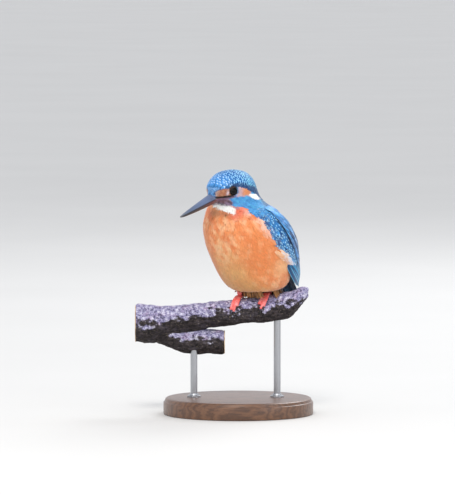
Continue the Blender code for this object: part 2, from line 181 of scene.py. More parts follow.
class Socket:
    """A node's output; arithmetic on it adds Math nodes."""

    def __init__(self, shader: "Shader", link: bpy.types.NodeSocket) -> None:
        """Wraps one output."""
        self.shader = shader
        self.link = link

    def __sub__(self, other: Value) -> "Socket":
        """The difference."""
        return self.shader.maths("SUBTRACT", self, other)

    def __rsub__(self, other: Value) -> "Socket":
        """The difference, the other way about."""
        return self.shader.maths("SUBTRACT", other, self)

    def __add__(self, other: Value) -> "Socket":
        """The sum."""
        return self.shader.maths("ADD", self, other)

    def __mul__(self, other: Value) -> "Socket":
        """The product."""
        return self.shader.maths("MULTIPLY", self, other)

    def __truediv__(self, other: Value) -> "Socket":
        """The quotient."""
        return self.shader.maths("DIVIDE", self, other)

    def __pow__(self, other: Value) -> "Socket":
        """The power."""
        return self.shader.maths("POWER", self, other)

    __radd__ = __add__
    __rmul__ = __mul__

    def size(self) -> "Socket":
        """The value without its sign."""
        return self.shader.maths("ABSOLUTE", self)

    def ramp(self, low: float, high: float) -> "Socket":
        """0 below low, 1 above high, smooth between."""
        return self.shader.node("MapRange", {0: self, 1: low, 2: high}, interpolation_type="SMOOTHSTEP")


class Shader:
    """One material's node tree."""

    def __init__(self, name: str) -> None:
        """Starts an empty tree with an output and a Principled shader.

        Args:
            name: The material's name.
        """
        self.material = bpy.data.materials.new(name)
        self.material.use_nodes = True
        self.tree = self.material.node_tree
        self.tree.nodes.clear()
        self.body = self.tree.nodes.new("ShaderNodeBsdfPrincipled")
        output = self.tree.nodes.new("ShaderNodeOutputMaterial")
        self.tree.links.new(self.body.outputs[0], output.inputs[0])

    def node(self, kind: str, inputs: Mapping[Union[int, str], Value] | None = None,
             output: Union[int, str] = 0, **settings: object) -> Socket:
        """Adds a node.

        Args:
            kind: The node's type without its ShaderNode prefix.
            inputs: Values or links by socket name or place.
            output: Which output is returned.
            settings: The node's own settings, set before its inputs; stops sets a colour ramp.

        Returns:
            The chosen output.
        """
        made = self.tree.nodes.new("ShaderNode" + kind)
        for key, value in settings.items():
            if key == "stops":
                self._fill(made.color_ramp, value)
            else:
                setattr(made, key, value)
        for key, value in (inputs or {}).items():
            self.join(made.inputs[key], value)
        return Socket(self, made.outputs[output])

    @staticmethod
    def _fill(ramp: bpy.types.ColorRamp, stops: Sequence[tuple[float, Array]]) -> None:
        """Sets a ramp's stops from places and colours.

        Args:
            ramp: The colour ramp.
            stops: Places from 0 to 1 and their colours.
        """
        while len(ramp.elements) < len(stops):
            ramp.elements.new(0.5)
        for element, (place, colour) in zip(ramp.elements, stops):
            element.position = place
            element.color = (*colour, 1.0)

    def join(self, target: bpy.types.NodeSocket, value: Value) -> None:
        """Links or sets one input.

        Args:
            target: The input.
            value: A socket, a number, a vector or a colour.
        """
        if isinstance(value, Socket):
            self.tree.links.new(value.link, target)
        elif hasattr(value, "__len__") and len(value) == 3 and len(target.default_value) == 4:
            target.default_value = (*value, 1.0)
        else:
            target.default_value = value

    def maths(self, operation: str, first: Value, second: Value = 0.0) -> Socket:
        """One Math node."""
        return self.node("Math", {0: first, 1: second}, operation=operation)

    def blend(self, first: Value, second: Value, share: Value, mode: str = "MIX") -> Socket:
        """Two colours mixed by a share."""
        return self.node("Mix", {0: share, 6: first, 7: second}, 2, data_type="RGBA", blend_type=mode)

    def place(self, scale: Sequence[float] = (1, 1, 1), turn: Sequence[float] = (0, 0, 0)) -> Socket:
        """Object coordinates in millimetres, stretched and turned."""
        return self.node("Mapping", {0: self.node("TexCoord", output="Object"), "Rotation": turn,
                                     "Scale": tuple(s / MM for s in scale)})

    def grain(self, where: Socket, scale: float, detail: float = 3.0, roughness: float = 0.55) -> Socket:
        """Noise between 0 and 1 at so many waves a millimetre."""
        return self.node("TexNoise", {"Vector": where, "Scale": scale, "Detail": detail,
                                      "Roughness": roughness})

    def attribute(self, name: str, output: str = "Color") -> Socket:
        """A named attribute of the mesh."""
        return self.node("Attribute", output=output, attribute_name=name)

    def shaded(self, colour: Value, shade: Value) -> Socket:
        """A colour times a grey."""
        grey = self.node("CombineXYZ", {0: shade, 1: shade, 2: shade})
        return self.blend(colour, grey, 1.0, "MULTIPLY")

    def streaks(self, way: Socket, stretch: Sequence[float], scale: float, detail: float) -> Socket:
        """Noise drawn out along a piece's own way."""
        wide = self.node("VectorMath", {0: way, 1: stretch}, operation="MULTIPLY")
        return self.grain(wide, scale, detail)

    def split(self, vector: Socket, axis: int) -> Socket:
        """One coordinate of a vector."""
        return self.node("SeparateXYZ", {0: vector}, axis)

    def bump(self, height: Socket, depth: float, strength: float = 1.0) -> Socket:
        """A normal from a height between 0 and 1 and its depth in millimetres."""
        return self.node("Bump", {"Height": height, "Strength": strength, "Distance": depth * MM}, "Normal")

    def dress(self, **inputs: Value) -> Material:
        """Sets the Principled shader's inputs.

        Args:
            inputs: A value or socket for each input, named with _ for a space.

        Returns:
            The material.
        """
        for key, value in inputs.items():
            self.join(self.body.inputs[key.replace("_", " ")], value)
        return self.material


# ---- finishes


@dataclass(frozen=True)
class Plumage:
    """Feather finish: barbs each side of a shaft, and an optional bar or spot near the tip."""

    name: str
    barbs: float = 16.0
    slant: float = 0.55
    contrast: float = 0.16
    mark_at: tuple[float, float] = (0.5, 0.84)
    mark_size: tuple[float, float] = (0.55, 0.1)
    bend: float = 0.25
    roughness: float = 0.62
    sheen: float = 0.25
    shaft: float = 0.35
    fringe: float = 0.0
    relief: float = 0.04

    def material(self) -> Material:
        """Builds the material.

        Returns:
            The material.
        """
        shader = Shader(self.name)
        vane = shader.node("UVMap", uv_map="Vane")
        across = shader.split(vane, 0)
        along = shader.split(vane, 1)
        off = (across - 0.5).size()
        where = shader.place()
        patchy = shader.grain(where, 0.9, 2.0)
        combed = (along * self.barbs - off * self.slant * self.barbs * 2 + patchy * 0.8) * math.tau
        barb = shader.maths("SINE", combed) * 0.5 + 0.5
        tint = shader.attribute("Tint")
        shade = 1.0 - self.contrast + barb * self.contrast + (patchy - 0.5) * 0.22
        colour = shader.shaded(tint, shade)
        lift = (along - self.mark_at[1] + (off ** 2.0) * self.bend * 4).size() / self.mark_size[1]
        spread = off / self.mark_size[0]
        inside = 1.0 - (lift ** 2.0 + spread ** 2.0).ramp(0.55, 1.25)
        marked = inside * shader.attribute("Mark", "Alpha") * (0.8 + barb * 0.2)
        colour = shader.blend(colour, shader.attribute("Mark"), marked)
        if self.fringe:
            edging = (off + (along ** 6.0) * 0.2 + barb * 0.03).ramp(0.34, 0.46) * self.fringe
            colour = shader.blend(colour, shader.attribute("Mark"), edging)
        line = (1.0 - off.ramp(0.012, 0.035)) * self.shaft * (1.0 - along.ramp(0.75, 0.98))
        colour = shader.blend(colour, (0.03, 0.025, 0.025), line)
        height = barb * 0.5 + (1.0 - off.ramp(0.0, 0.06)) * 0.5
        return shader.dress(
            Base_Color=colour, Roughness=self.roughness + (patchy - 0.5) * 0.2,
            Normal=shader.bump(height, self.relief, 0.5), Sheen_Weight=self.sheen, Sheen_Roughness=0.4,
            Specular_IOR_Level=0.24)


@dataclass(frozen=True)
class Hide:
    """The skin's finish: the coat's markings, darker, with fine goose-pimples."""

    name: str = "skin_downy"

    def material(self) -> Material:
        """Builds the material.

        Returns:
            The material.
        """
        shader = Shader(self.name)
        where = shader.place()
        pimples = shader.node("TexVoronoi", {"Vector": where, "Scale": 1.3})
        down = shader.grain(where, 2.6)
        colour = shader.shaded(shader.attribute("Tint"), 0.4 + down * 0.35)
        return shader.dress(Base_Color=colour, Roughness=0.8 + down * 0.1,
                            Normal=shader.bump(1.0 - pimples + down * 0.4, 0.12))


@dataclass(frozen=True)
class Horn:
    """Bill and claw finish: streaks along the horn, from a base colour to a tip colour."""

    name: str
    stops: tuple[tuple[float, Colour], ...]
    streaks: float = 1.6
    roughness: float = 0.34
    coat: float = 0.2
    # how strongly painted shade darkens the cutting edge
    lip: float = 0.0

    def material(self) -> Material:
        """Builds the material.

        Returns:
            The material.
        """
        shader = Shader(self.name)
        way = shader.attribute("Way", "Vector")
        along = shader.split(way, 0)
        streak = shader.streaks(way, (1.5, 9.0, 9.0), self.streaks, 4.0)
        fine = shader.grain(shader.place(), 3.0)
        base = shader.node("ValToRGB", {0: along + (streak - 0.5) * 0.12},
                           stops=[(place, swatch(*colour)) for place, colour in self.stops])
        worn = shader.blend(base, swatch(150, 155, 165), (fine.ramp(0.58, 0.8)) * 0.22)
        dark = shader.blend(worn, swatch(20, 20, 28), (1.0 - streak.ramp(0.26, 0.46)) * 0.3)
        # painted shade: darker along the cutting edge where the two halves meet
        if self.lip:
            height = shader.split(way, 2).size()
            dark = shader.blend(dark, swatch(12, 12, 16), (1.0 - height.ramp(0.05, 0.15)) * self.lip)
        return shader.dress(
            Base_Color=dark, Roughness=self.roughness + (streak - 0.5) * 0.25,
            Normal=shader.bump(streak * 0.7 + fine * 0.3, 0.05), Coat_Weight=self.coat, Coat_Roughness=0.2)


@dataclass(frozen=True)
class Iris:
    """The eyeball: a black pupil in a very dark brown iris under a clear wet cornea."""

    name: str = "eye_wet"

    def material(self) -> Material:
        """Builds the material.

        Returns:
            The material.
        """
        shader = Shader(self.name)
        way = shader.attribute("Way", "Vector")
        radius = shader.split(way, 0)
        fibre = shader.streaks(way, (2.0, 14.0, 14.0), 1.4, 2.0)
        brown = shader.blend(swatch(7, 5, 7), swatch(20, 14, 15), fibre.ramp(0.35, 0.7))
        colour = shader.blend(swatch(4, 4, 6), brown, radius.ramp(0.34, 0.42))
        colour = shader.blend(colour, swatch(9, 8, 10), radius.ramp(0.78, 0.92))
        return shader.dress(Base_Color=colour, Roughness=0.3 + fibre * 0.06, Coat_Weight=1.0,
                            Coat_Roughness=0.02, Coat_IOR=1.24, Specular_IOR_Level=0.0)


@dataclass(frozen=True)
class Scales:
    """Bare foot and eyelid finish: small rounded scales, with painted shade darkening the creases between
    them.
    """

    name: str
    colour: Colour
    crease: Colour
    pale: Colour
    scale: float = 1.2
    depth: float = 0.1
    roughness: float = 0.42

    def material(self) -> Material:
        """Builds the material.

        Returns:
            The material.
        """
        shader = Shader(self.name)
        where = shader.place()
        cells = shader.node("TexVoronoi", {"Vector": where, "Scale": self.scale}, feature="DISTANCE_TO_EDGE")
        pad = cells.ramp(0.0, 0.22)
        blotch = shader.grain(where, 0.45)
        fine = shader.grain(where, 4.0)
        way = shader.attribute("Way", "Vector")
        plates = shader.split(way, 0)
        colour = shader.blend(swatch(*self.colour), swatch(*self.pale), blotch.ramp(0.42, 0.72))
        # painted shade: the creases between scales darker
        sunk = 1.0 - pad * 0.6 - plates * 0.4
        colour = shader.blend(colour, swatch(*self.crease), sunk * 0.75)
        return shader.dress(Base_Color=colour, Roughness=self.roughness + sunk * 0.2 + (fine - 0.5) * 0.15,
                            Normal=shader.bump(pad * 0.7 + fine * 0.3, self.depth), Coat_Weight=0.12,
                            Coat_Roughness=0.35)


@dataclass(frozen=True)
class Bark:
    """Old bark, nearly black underneath, with a lilac-grey and silvery lichen crust on top."""

    name: str = "bark_lichened"

    def material(self) -> Material:
        """Builds the material.

        Returns:
            The material.
        """
        shader = Shader(self.name)
        where = shader.place()
        long = shader.place((0.22, 1.0, 1.0))
        fissure = shader.grain(long, 0.85, 6.0, 0.6)
        coarse = shader.grain(where, 0.16, 4.0)
        fine = shader.grain(where, 1.7, 4.0, 0.7)
        crumbs = shader.node("TexVoronoi", {"Vector": where, "Scale": 0.75, "Randomness": 1.0})
        crust = shader.attribute("Crust", "Fac")
        blot = shader.grain(where, 0.42, 3.0, 0.6)
        furrows = (fissure * 0.5 + blot * 0.5).ramp(0.4, 0.66)
        wood = shader.blend(swatch(22, 18, 20), swatch(66, 58, 60), furrows)
        speck = shader.grain(where, 1.1, 3.0, 0.7)
        wood = shader.blend(wood, swatch(132, 120, 102), speck.ramp(0.58, 0.68) * 0.75)
        wood = shader.blend(wood, swatch(98, 92, 104), (coarse * 0.6 + fine * 0.4).ramp(0.5, 0.66) * 0.4)
        lilac = shader.blend(swatch(92, 88, 122), swatch(164, 158, 196), fine.ramp(0.36, 0.6))
        lilac = shader.blend(lilac, swatch(176, 150, 182), coarse.ramp(0.5, 0.66) * 0.6)
        pale = (blot * 0.55 + fine * 0.45).ramp(0.5, 0.6)
        silver = shader.blend(lilac, swatch(222, 220, 236), pale * 0.9)
        hollow = 1.0 - (blot * 0.7 + crumbs * 0.25).ramp(0.32, 0.46)
        silver = shader.blend(silver, swatch(56, 52, 78), hollow * 0.85)
        patch = (crust + (fine - 0.5) * 1.0 + (fissure - 0.5) * 0.9 + (blot - 0.5) * 0.9).ramp(0.3, 0.74)
        colour = shader.blend(wood, silver, patch * 0.94)
        # painted shade: nearly black down in the fissures
        dark = (1.0 - fissure.ramp(0.3, 0.42)) * 0.85
        colour = shader.blend(colour, swatch(18, 14, 15), dark)
        height = fissure * 0.5 + fine * 0.3 + patch * 0.2
        return shader.dress(Base_Color=colour, Roughness=0.86 - patch * 0.1 + (fine - 0.5) * 0.15,
                            Normal=shader.bump(height, 0.55), Specular_IOR_Level=0.35)


@dataclass(frozen=True)
class SawnWood:
    """A sawn branch end: growth rings about a heart, rays and saw marks."""

    name: str
    heart: tuple[float, float]

    def material(self) -> Material:
        """Builds the material.

        Returns:
            The material.
        """
        shader = Shader(self.name)
        where = shader.place()
        wobble = shader.grain(where, 0.14, 2.0)
        side = shader.split(where, 1) - self.heart[0]
        tall = shader.split(where, 2) - self.heart[1]
        radius = (side * side + tall * tall) ** 0.5
        uneven = shader.grain(where, 0.45, 2.0)
        rings = shader.maths("SINE", (radius * 0.85 + wobble * 3.6 + uneven * 0.7) * math.tau) * 0.5 + 0.5
        fine = shader.grain(where, 1.5, 4.0)
        saw = shader.grain(shader.place((1.0, 0.25, 2.4), (0.5, 0.0, 0.0)), 1.2)
        colour = shader.blend(swatch(166, 134, 102), swatch(206, 178, 142), rings.ramp(0.1, 0.9))
        colour = shader.blend(colour, swatch(104, 84, 70), saw.ramp(0.5, 0.75) * 0.5)
        colour = shader.blend(colour, swatch(88, 62, 46), 1.0 - radius.ramp(0.6, 1.6))
        return shader.dress(Base_Color=colour, Roughness=0.78 + fine * 0.12,
                            Normal=shader.bump(rings * 0.4 + saw * 0.4 + fine * 0.2, 0.12))


@dataclass(frozen=True)
class TurnedWood:
    """The stand's varnished wood: long dark figure, pores and a satin coat."""

    name: str = "stand_walnut"

    def material(self) -> Material:
        """Builds the material.

        Returns:
            The material.
        """
        shader = Shader(self.name)
        along = shader.place((0.16, 1.0, 1.0))
        figure = shader.grain(shader.place((0.03, 0.16, 0.16)), 0.9, 3.0)
        bands = shader.maths("SINE", (shader.split(along, 1) * 0.22 + figure * 3.4) * math.tau) * 0.5 + 0.5
        pores = shader.grain(shader.place((0.08, 1.6, 1.6)), 1.2, 3.0, 0.7)
        colour = shader.blend(swatch(74, 48, 33), swatch(122, 84, 58), bands * 0.6 + figure * 0.4)
        colour = shader.blend(colour, swatch(42, 27, 20), pores.ramp(0.54, 0.7) * 0.75)
        return shader.dress(Base_Color=colour, Roughness=0.42 + (pores - 0.5) * 0.25,
                            Normal=shader.bump(1.0 - pores.ramp(0.54, 0.72), 0.06), Coat_Weight=0.35,
                            Coat_Roughness=0.22)


@dataclass(frozen=True)
class BrushedSteel:
    """The stand's steel: fine brushing round each rod and faint smears."""

    name: str = "stand_brushed_steel"

    def material(self) -> Material:
        """Builds the material.

        Returns:
            The material.
        """
        shader = Shader(self.name)
        rings = shader.grain(shader.place((0.2, 0.2, 6.0)), 1.6, 4.0, 0.7)
        smear = shader.grain(shader.place(), 0.12, 2.0)
        colour = shader.blend(swatch(150, 152, 156), swatch(196, 197, 200), rings)
        return shader.dress(Base_Color=colour, Metallic=1.0,
                            Roughness=0.24 + rings * 0.14 + smear.ramp(0.45, 0.7) * 0.12,
                            Normal=shader.bump(rings, 0.01, 0.5))


@dataclass(frozen=True)
class PaleFloor:
    """A matt pale studio floor."""

    name: str = "studio_floor"

    def material(self) -> Material:
        """Builds the material.

        Returns:
            The material.
        """
        shader = Shader(self.name)
        mottle = shader.grain(shader.place(), 0.004, 2.0)
        colour = shader.blend(swatch(214, 213, 210), swatch(221, 220, 217), mottle)
        return shader.dress(Base_Color=colour, Roughness=0.85)


# ---- mesh helpers


def arrays_of(bm: Mesh) -> tuple[Array, Array]:
    """A mesh's corners and their normals."""
    bm.normal_update()
    return (np.array([v.co for v in bm.verts]), np.array([v.normal for v in bm.verts]))


def set_places(bm: Mesh, places: Array) -> None:
    """Moves every corner to its row of places."""
    for vert, place in zip(bm.verts, places):
        vert.co = place


def copy_of(node: bpy.types.Object, swell: float = 0.0) -> Mesh:
    """A welded copy of a solid, swollen by some millimetres.

    Args:
        node: The solid.
        swell: How far it swells.

    Returns:
        The copy.
    """
    bm = bmesh.new()
    bm.from_mesh(node.data)
    bmesh.ops.remove_doubles(bm, verts=bm.verts, dist=WELD)
    places, normals = arrays_of(bm)
    set_places(bm, places + normals * swell * MM)
    return bm


def joined(parts: Sequence[Mesh]) -> Mesh:
    """Several meshes in one.

    Args:
        parts: The meshes, freed here.

    Returns:
        The one mesh.
    """
    whole = bmesh.new()
    for part in parts:
        mesh = bpy.data.meshes.new("part")
        part.to_mesh(mesh)
        whole.from_mesh(mesh)
        bpy.data.meshes.remove(mesh)
        part.free()
    return whole


def cut_beyond(bm: Mesh, place: Array, normal: Array) -> None:
    """Takes away what lies beyond a plane and closes the cut.

    Args:
        bm: The closed mesh.
        place: A place on the plane.
        normal: The plane's normal, toward what goes.
    """
    geometry = bm.verts[:] + bm.edges[:] + bm.faces[:]
    bmesh.ops.bisect_plane(bm, geom=geometry, plane_co=Vector(place), plane_no=Vector(normal),
                           clear_outer=True)
    bmesh.ops.holes_fill(bm, edges=[e for e in bm.edges if e.is_boundary])


def remeshed(bm: Mesh, voxel: float, rounds: int) -> Mesh:
    """One even closed skin over overlapping solids.

    Args:
        bm: The solids, freed here.
        voxel: The grid's step in millimetres.
        rounds: Rounds of smoothing.

    Returns:
        The new mesh.
    """
    mesh = bpy.data.meshes.new("even")
    bm.to_mesh(mesh)
    bm.free()
    holder = bpy.data.objects.new("even", mesh)
    bpy.context.scene.collection.objects.link(holder)
    even = holder.modifiers.new("even", "REMESH")
    even.mode = "VOXEL"
    even.voxel_size = voxel * MM
    result = holder.evaluated_get(bpy.context.evaluated_depsgraph_get()).to_mesh()
    made = bmesh.new()
    made.from_mesh(result)
    bpy.data.objects.remove(holder)
    bpy.data.meshes.remove(mesh)
    return smoothed(made, rounds)


def smoothed(bm: Mesh, rounds: int) -> Mesh:
    """Smooths a mesh.

    Args:
        bm: The mesh.
        rounds: How often.

    Returns:
        The same mesh.
    """
    for _ in range(rounds):
        bmesh.ops.smooth_vert(bm, verts=bm.verts, factor=0.5, use_axis_x=True, use_axis_y=True,
                              use_axis_z=True)
    return bm


def tree_of(bm: Mesh, places: Array) -> BVHTree:
    """A search tree of the mesh's faces with its corners at these places."""
    bm.verts.index_update()
    return BVHTree.FromPolygons(places.tolist(), [[v.index for v in face.verts] for face in bm.faces])


def ring(bm: Mesh, places: Array) -> list[bmesh.types.BMEdge]:
    """Adds a closed ring of corners at these places.

    Args:
        bm: The mesh it is added to.
        places: The corners in order.

    Returns:
        Its edges.
    """
    made = bmesh.ops.create_circle(bm, segments=len(places), radius=1.0)["verts"]
    for vert, place in zip(made, places):
        vert.co = place
    return list({edge for vert in made for edge in vert.link_edges})


def lofted(rings: Sequence[Array]) -> Mesh:
    """A closed skin through rings of places, with its two ends capped.

    Args:
        rings: Rings of the same number of places, from end to end.

    Returns:
        The closed skin.
    """
    bm = bmesh.new()
    edges = [ring(bm, places) for places in rings]
    for first, second in zip(edges, edges[1:]):
        bmesh.ops.bridge_loops(bm, edges=first + second)
    for end in (edges[0], edges[-1]):
        bmesh.ops.holes_fill(bm, edges=end)
    bmesh.ops.recalc_face_normals(bm, faces=bm.faces)
    return bm


def turned(profile: Sequence[tuple[float, float]], centre: tuple[float, float], steps: int) -> Mesh:
    """A lathe-turned shape.

    Args:
        profile: Radius and height in millimetres, from the axis to the axis.
        centre: The axis in the plan.
        steps: Sides round the axis.

    Returns:
        The closed shape.
    """
    bm = bmesh.new()
    x, y = centre
    verts = [bm.verts.new(Vector((x + radius, y, height)) * MM) for radius, height in profile]
    edges = [bm.edges.new(pair) for pair in zip(verts, verts[1:])]
    bmesh.ops.spin(bm, geom=verts + edges, cent=Vector((x, y, 0)) * MM, axis=(0, 0, 1),
                   angle=math.tau, steps=steps, use_merge=True)
    bmesh.ops.remove_doubles(bm, verts=bm.verts, dist=WELD)
    bmesh.ops.recalc_face_normals(bm, faces=bm.faces)
    return bm


def piece(name: str, bm: Mesh, material: Material, slot: str, stands_for: Sequence[str] = (),
          **layers: Array) -> bpy.types.Object:
    """Makes the finished piece from a mesh and puts it in the scene.

    Args:
        name: The piece's name.
        bm: Its shape, freed here.
        material: Its finish.
        slot: The slot it is logged under.
        stands_for: The solids it replaces.
        layers: Values for its corners that the finish reads, by name.

    Returns:
        The piece.
    """
    mesh = bpy.data.meshes.new(name)
    bm.to_mesh(mesh)
    bm.free()
    mesh.shade_smooth()
    for layer, values in layers.items():
        keep(mesh, layer, values)
    return entered(name, mesh, material, slot, stands_for)


def entered(name: str, mesh: bpy.types.Mesh, material: Material, slot: str,
            stands_for: Sequence[str] = ()) -> bpy.types.Object:
    """Puts a finished mesh in the scene, under the root body.

    Args:
        name: The piece's name.
        mesh: Its finished mesh.
        material: Its finish.
        slot: The slot it is logged under.
        stands_for: The solids it replaces.

    Returns:
        The piece.
    """
    made = bpy.data.objects.new(name, mesh)
    bpy.context.scene.collection.objects.link(made)
    mesh.materials.append(material)
    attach(made, "root")
    if stands_for:
        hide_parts(*stands_for)
    LOG.info("%s: %d faces, slot %s", name, len(mesh.polygons), slot)
    return made


def keep(mesh: bpy.types.Mesh, name: str, values: Array) -> None:
    """Stores one value, vector or colour for each corner of a mesh.

    Args:
        mesh: The mesh.
        name: The layer's name.
        values: One row a corner.
    """
    width = 1 if values.ndim == 1 else values.shape[1]
    kind, prop = {1: ("FLOAT", "value"), 3: ("FLOAT_VECTOR", "vector"), 4: ("FLOAT_COLOR", "color")}[width]
    layer = mesh.attributes.new(name, kind, "POINT")
    layer.data.foreach_set(prop, np.ascontiguousarray(values, dtype=np.float32).ravel())


# ---- the bird's form


@dataclass
class Form:
    """The bird's outer surface, where the feather tips lie, and rays and near points on it."""

    nodes: Nodes
    swell: float = 0.24
    voxel: float = 0.85
    rounds: int = 3
    bill_kept: float = 5.0
    tail_kept: float = 0.42
    wing_cut: float = 20.0
    leg_cut: float = 7.0
    bvh: BVHTree = field(init=False)
    wings: BVHTree = field(init=False)
    mesh: Mesh = field(init=False)
    places: Array = field(init=False)
    normals: Array = field(init=False)

    def __post_init__(self) -> None:
        """Joins the solids under one shell."""
        parts = [copy_of(self.nodes[name], self.swell) for name in ("head", "neck", "trunk")]
        bill_way = BILL_WAY @ AXES.head_rows()
        bill_end = AXES.from_head(BILL_START) + bill_way * self.bill_kept
        down = np.array([0, 0, -1])
        for name, swell, place, way in (
                ("wing_left", self.swell, -down * self.wing_cut, down),
                ("wing_right", self.swell, -down * self.wing_cut, down),
                ("bill_upper", self.swell, bill_end, bill_way),
                ("bill_lower", self.swell, bill_end, bill_way),
                ("tarsus_left", 2 * self.swell, -down * self.leg_cut, down),
                ("tarsus_right", 2 * self.swell, -down * self.leg_cut, down),
                ("tail", self.swell, TAIL.at(self.tail_kept), TAIL.way())):
            part = copy_of(self.nodes[name], swell)
            cut_beyond(part, AXES.to_world(place), way @ AXES.rows())
            parts.append(part)
        self.mesh = remeshed(joined(parts), self.voxel, self.rounds)
        places, normals = arrays_of(self.mesh)
        self.normals = normals @ AXES.rows().T
        self.places = AXES.to_bird(places) - self.normals * self.swell
        self.bvh = tree_of(self.mesh, self.places)
        folded = joined([copy_of(self.nodes[name]) for name in ("wing_left", "wing_right")])
        self.wings = tree_of(folded, AXES.to_bird(arrays_of(folded)[0]))
        folded.free()

    def near(self, points: Array) -> tuple[Array, Array]:
        """The nearest places on the surface and the outward normals there."""
        found = [self.bvh.find_nearest(Vector(p)) for p in points]
        return np.array([f[0] for f in found]), np.array([f[1] for f in found])

    def cast(self, start: Sequence[float], way: Sequence[float]) -> tuple[Array, Array] | None:
        """The first place a ray meets, and the normal there."""
        place, normal, _, _ = self.bvh.ray_cast(Vector(start), Vector(way))
        return None if place is None else (np.array(place), np.array(normal))

    def cast_wing(self, start: Array, way: Array) -> tuple[Array, Array] | None:
        """As cast, but over the folded wings too, whose tips stand clear of the body.

        Args:
            start: Where the ray starts.
            way: Its direction.

        Returns:
            The place and the normal, or None.
        """
        body = self.cast(start, way)
        place, normal, _, reach = self.wings.ray_cast(Vector(start), Vector(way))
        if place is None or (body is not None and np.linalg.norm(body[0] - start) <= reach):
            return body
        return np.array(place), np.array(normal)

    def depth(self, wanted: Array) -> Array:
        """How far the skin may lie under each corner, from the wanted depth and the wall's thickness.

        Args:
            wanted: The wanted depth at each corner.

        Returns:
            The depth that fits.
        """
        room = np.empty(len(self.places))
        for i, (place, normal) in enumerate(zip(self.places, self.normals)):
            hit = self.bvh.ray_cast(Vector(place - normal * 0.05), Vector(-normal))
            room[i] = hit[3] if hit[3] is not None else 99.0
        return np.minimum(wanted, room * 0.4)

    def scatter(self, spacing: Callable[[Array], Array], seed: int) -> Array:
        """Even random roots over the surface.

        Args:
            spacing: Millimetres between roots at given places; 0 or less for none.
            seed: Which random set.

        Returns:
            The roots in the bird's axes.
        """
        rng = np.random.default_rng(seed)
        faces = np.array([[loop.vert.index for loop in tri] for tri in self.mesh.calc_loop_triangles()])
        first, second, third = (self.places[faces[:, i]] for i in range(3))
        area = np.linalg.norm(np.cross(second - first, third - first), axis=1) / 2
        apart = spacing((first + second + third) / 3)
        weight = np.where(apart > 0, area / np.maximum(apart, 0.1) ** 2, 0)
        count = int(weight.sum() * 4)
        chosen = rng.choice(len(faces), count, p=weight / weight.sum())
        share = rng.random((count, 2))
        share = np.where(share.sum(1, keepdims=True) > 1, 1 - share, share)
        points = (first[chosen] + (second - first)[chosen] * share[:, :1]
                  + (third - first)[chosen] * share[:, 1:])
        return points[self._thin(points, apart[chosen])]

    @staticmethod
    def _thin(points: Array, apart: Array) -> list[int]:
        """The rows that stay when each keeps its distance from those kept before.

        Args:
            points: The places, in order of preference.
            apart: The distance each one keeps.

        Returns:
            The rows that stay.
        """
        cell = float(apart.max())
        kept: list[int] = []
        grid: dict[Spot, list[Spot]] = {}
        around = [(x, y, z) for x in (-1, 0, 1) for y in (-1, 0, 1) for z in (-1, 0, 1)]
        for i, ((x, y, z), gap) in enumerate(zip(points.tolist(), apart.tolist())):
            a, b, c = x // cell, y // cell, z // cell
            close = (spot for da, db, dc in around for spot in grid.get((a + da, b + db, c + dc), ()))
            if all((px - x) ** 2 + (py - y) ** 2 + (pz - z) ** 2 >= gap * gap for px, py, pz in close):
                kept.append(i)
                grid.setdefault((a, b, c), []).append((x, y, z))
        return kept


@dataclass(frozen=True)
class TailLine:
    """The tail's centre line from its root to its tip, in the bird's axes."""

    root: Spot = (-19.0, 0.0, 37.0)
    tip: Spot = (-43.5, 0.0, -4.5)

    def at(self, share: float | Array) -> Array:
        """A place on the line, or a row of them."""
        return np.array(self.root) + (np.array(self.tip) - self.root) * share

    def way(self) -> Array:
        """The direction from root to tip."""
        return unit(np.array(self.tip) - self.root)

    def top(self) -> Array:
        """The direction out of the tail's upper side."""
        way = self.way()
        return np.array([way[2], 0.0, -way[0]])

    def length(self) -> float:
        """From root to tip in millimetres."""
        return float(np.linalg.norm(np.array(self.tip) - self.root))


TAIL = TailLine()
BILL_START = (17.5, 0.0, -3.9)
BILL_PITCH = math.radians(-19.0)
BILL_WAY = np.array([math.cos(BILL_PITCH), 0, math.sin(BILL_PITCH)])
EYE_AT = (10.23, 10.76, 0.86)
EYE_RADIUS = 2.9
SIDEWAYS = np.array([0.0, 1.0, 0.0])


# ---- markings


@dataclass(frozen=True)
class Look:
    """How feathers at some places look."""

    colour: Array
    kind: Array
    mark: Array
    strength: Array


@dataclass
class Canvas:
    """The coat's colours as they are laid on, and how white and how blue each place is."""

    colour: Array
    white: Array = field(init=False)
    blue: Array = field(init=False)

    def __post_init__(self) -> None:
        """Starts with nothing white or blue."""
        self.white = np.zeros(len(self.colour))
        self.blue = np.zeros(len(self.colour))

    def tint(self, colour: Array, share: Array, strength: float = 1.0) -> None:
        """Lays a colour on by a share for each place."""
        self.colour = mixed(self.colour, colour, share * strength)

    def cover(self, colour: Array, share: Array) -> None:
        """Lays on a colour that is neither white nor blue.

        Args:
            colour: The colour.
            share: How much of it each place takes.
        """
        self.tint(colour, share)
        self.white *= 1 - share
        self.blue *= 1 - share

    def whiten(self, share: Array) -> None:
        """Lays on white.

        Args:
            share: How much of it each place takes.
        """
        self.tint(MARKINGS.white, share)
        self.white = np.maximum(self.white, share)
        self.blue *= 1 - share

    def kind(self) -> Array:
        """What a feather at each place is coloured as."""
        coloured = np.where(self.blue > 0.5, Kind.BLUE.value, Kind.RUFOUS.value)
        return np.where(self.white > 0.5, Kind.WHITE.value, coloured)


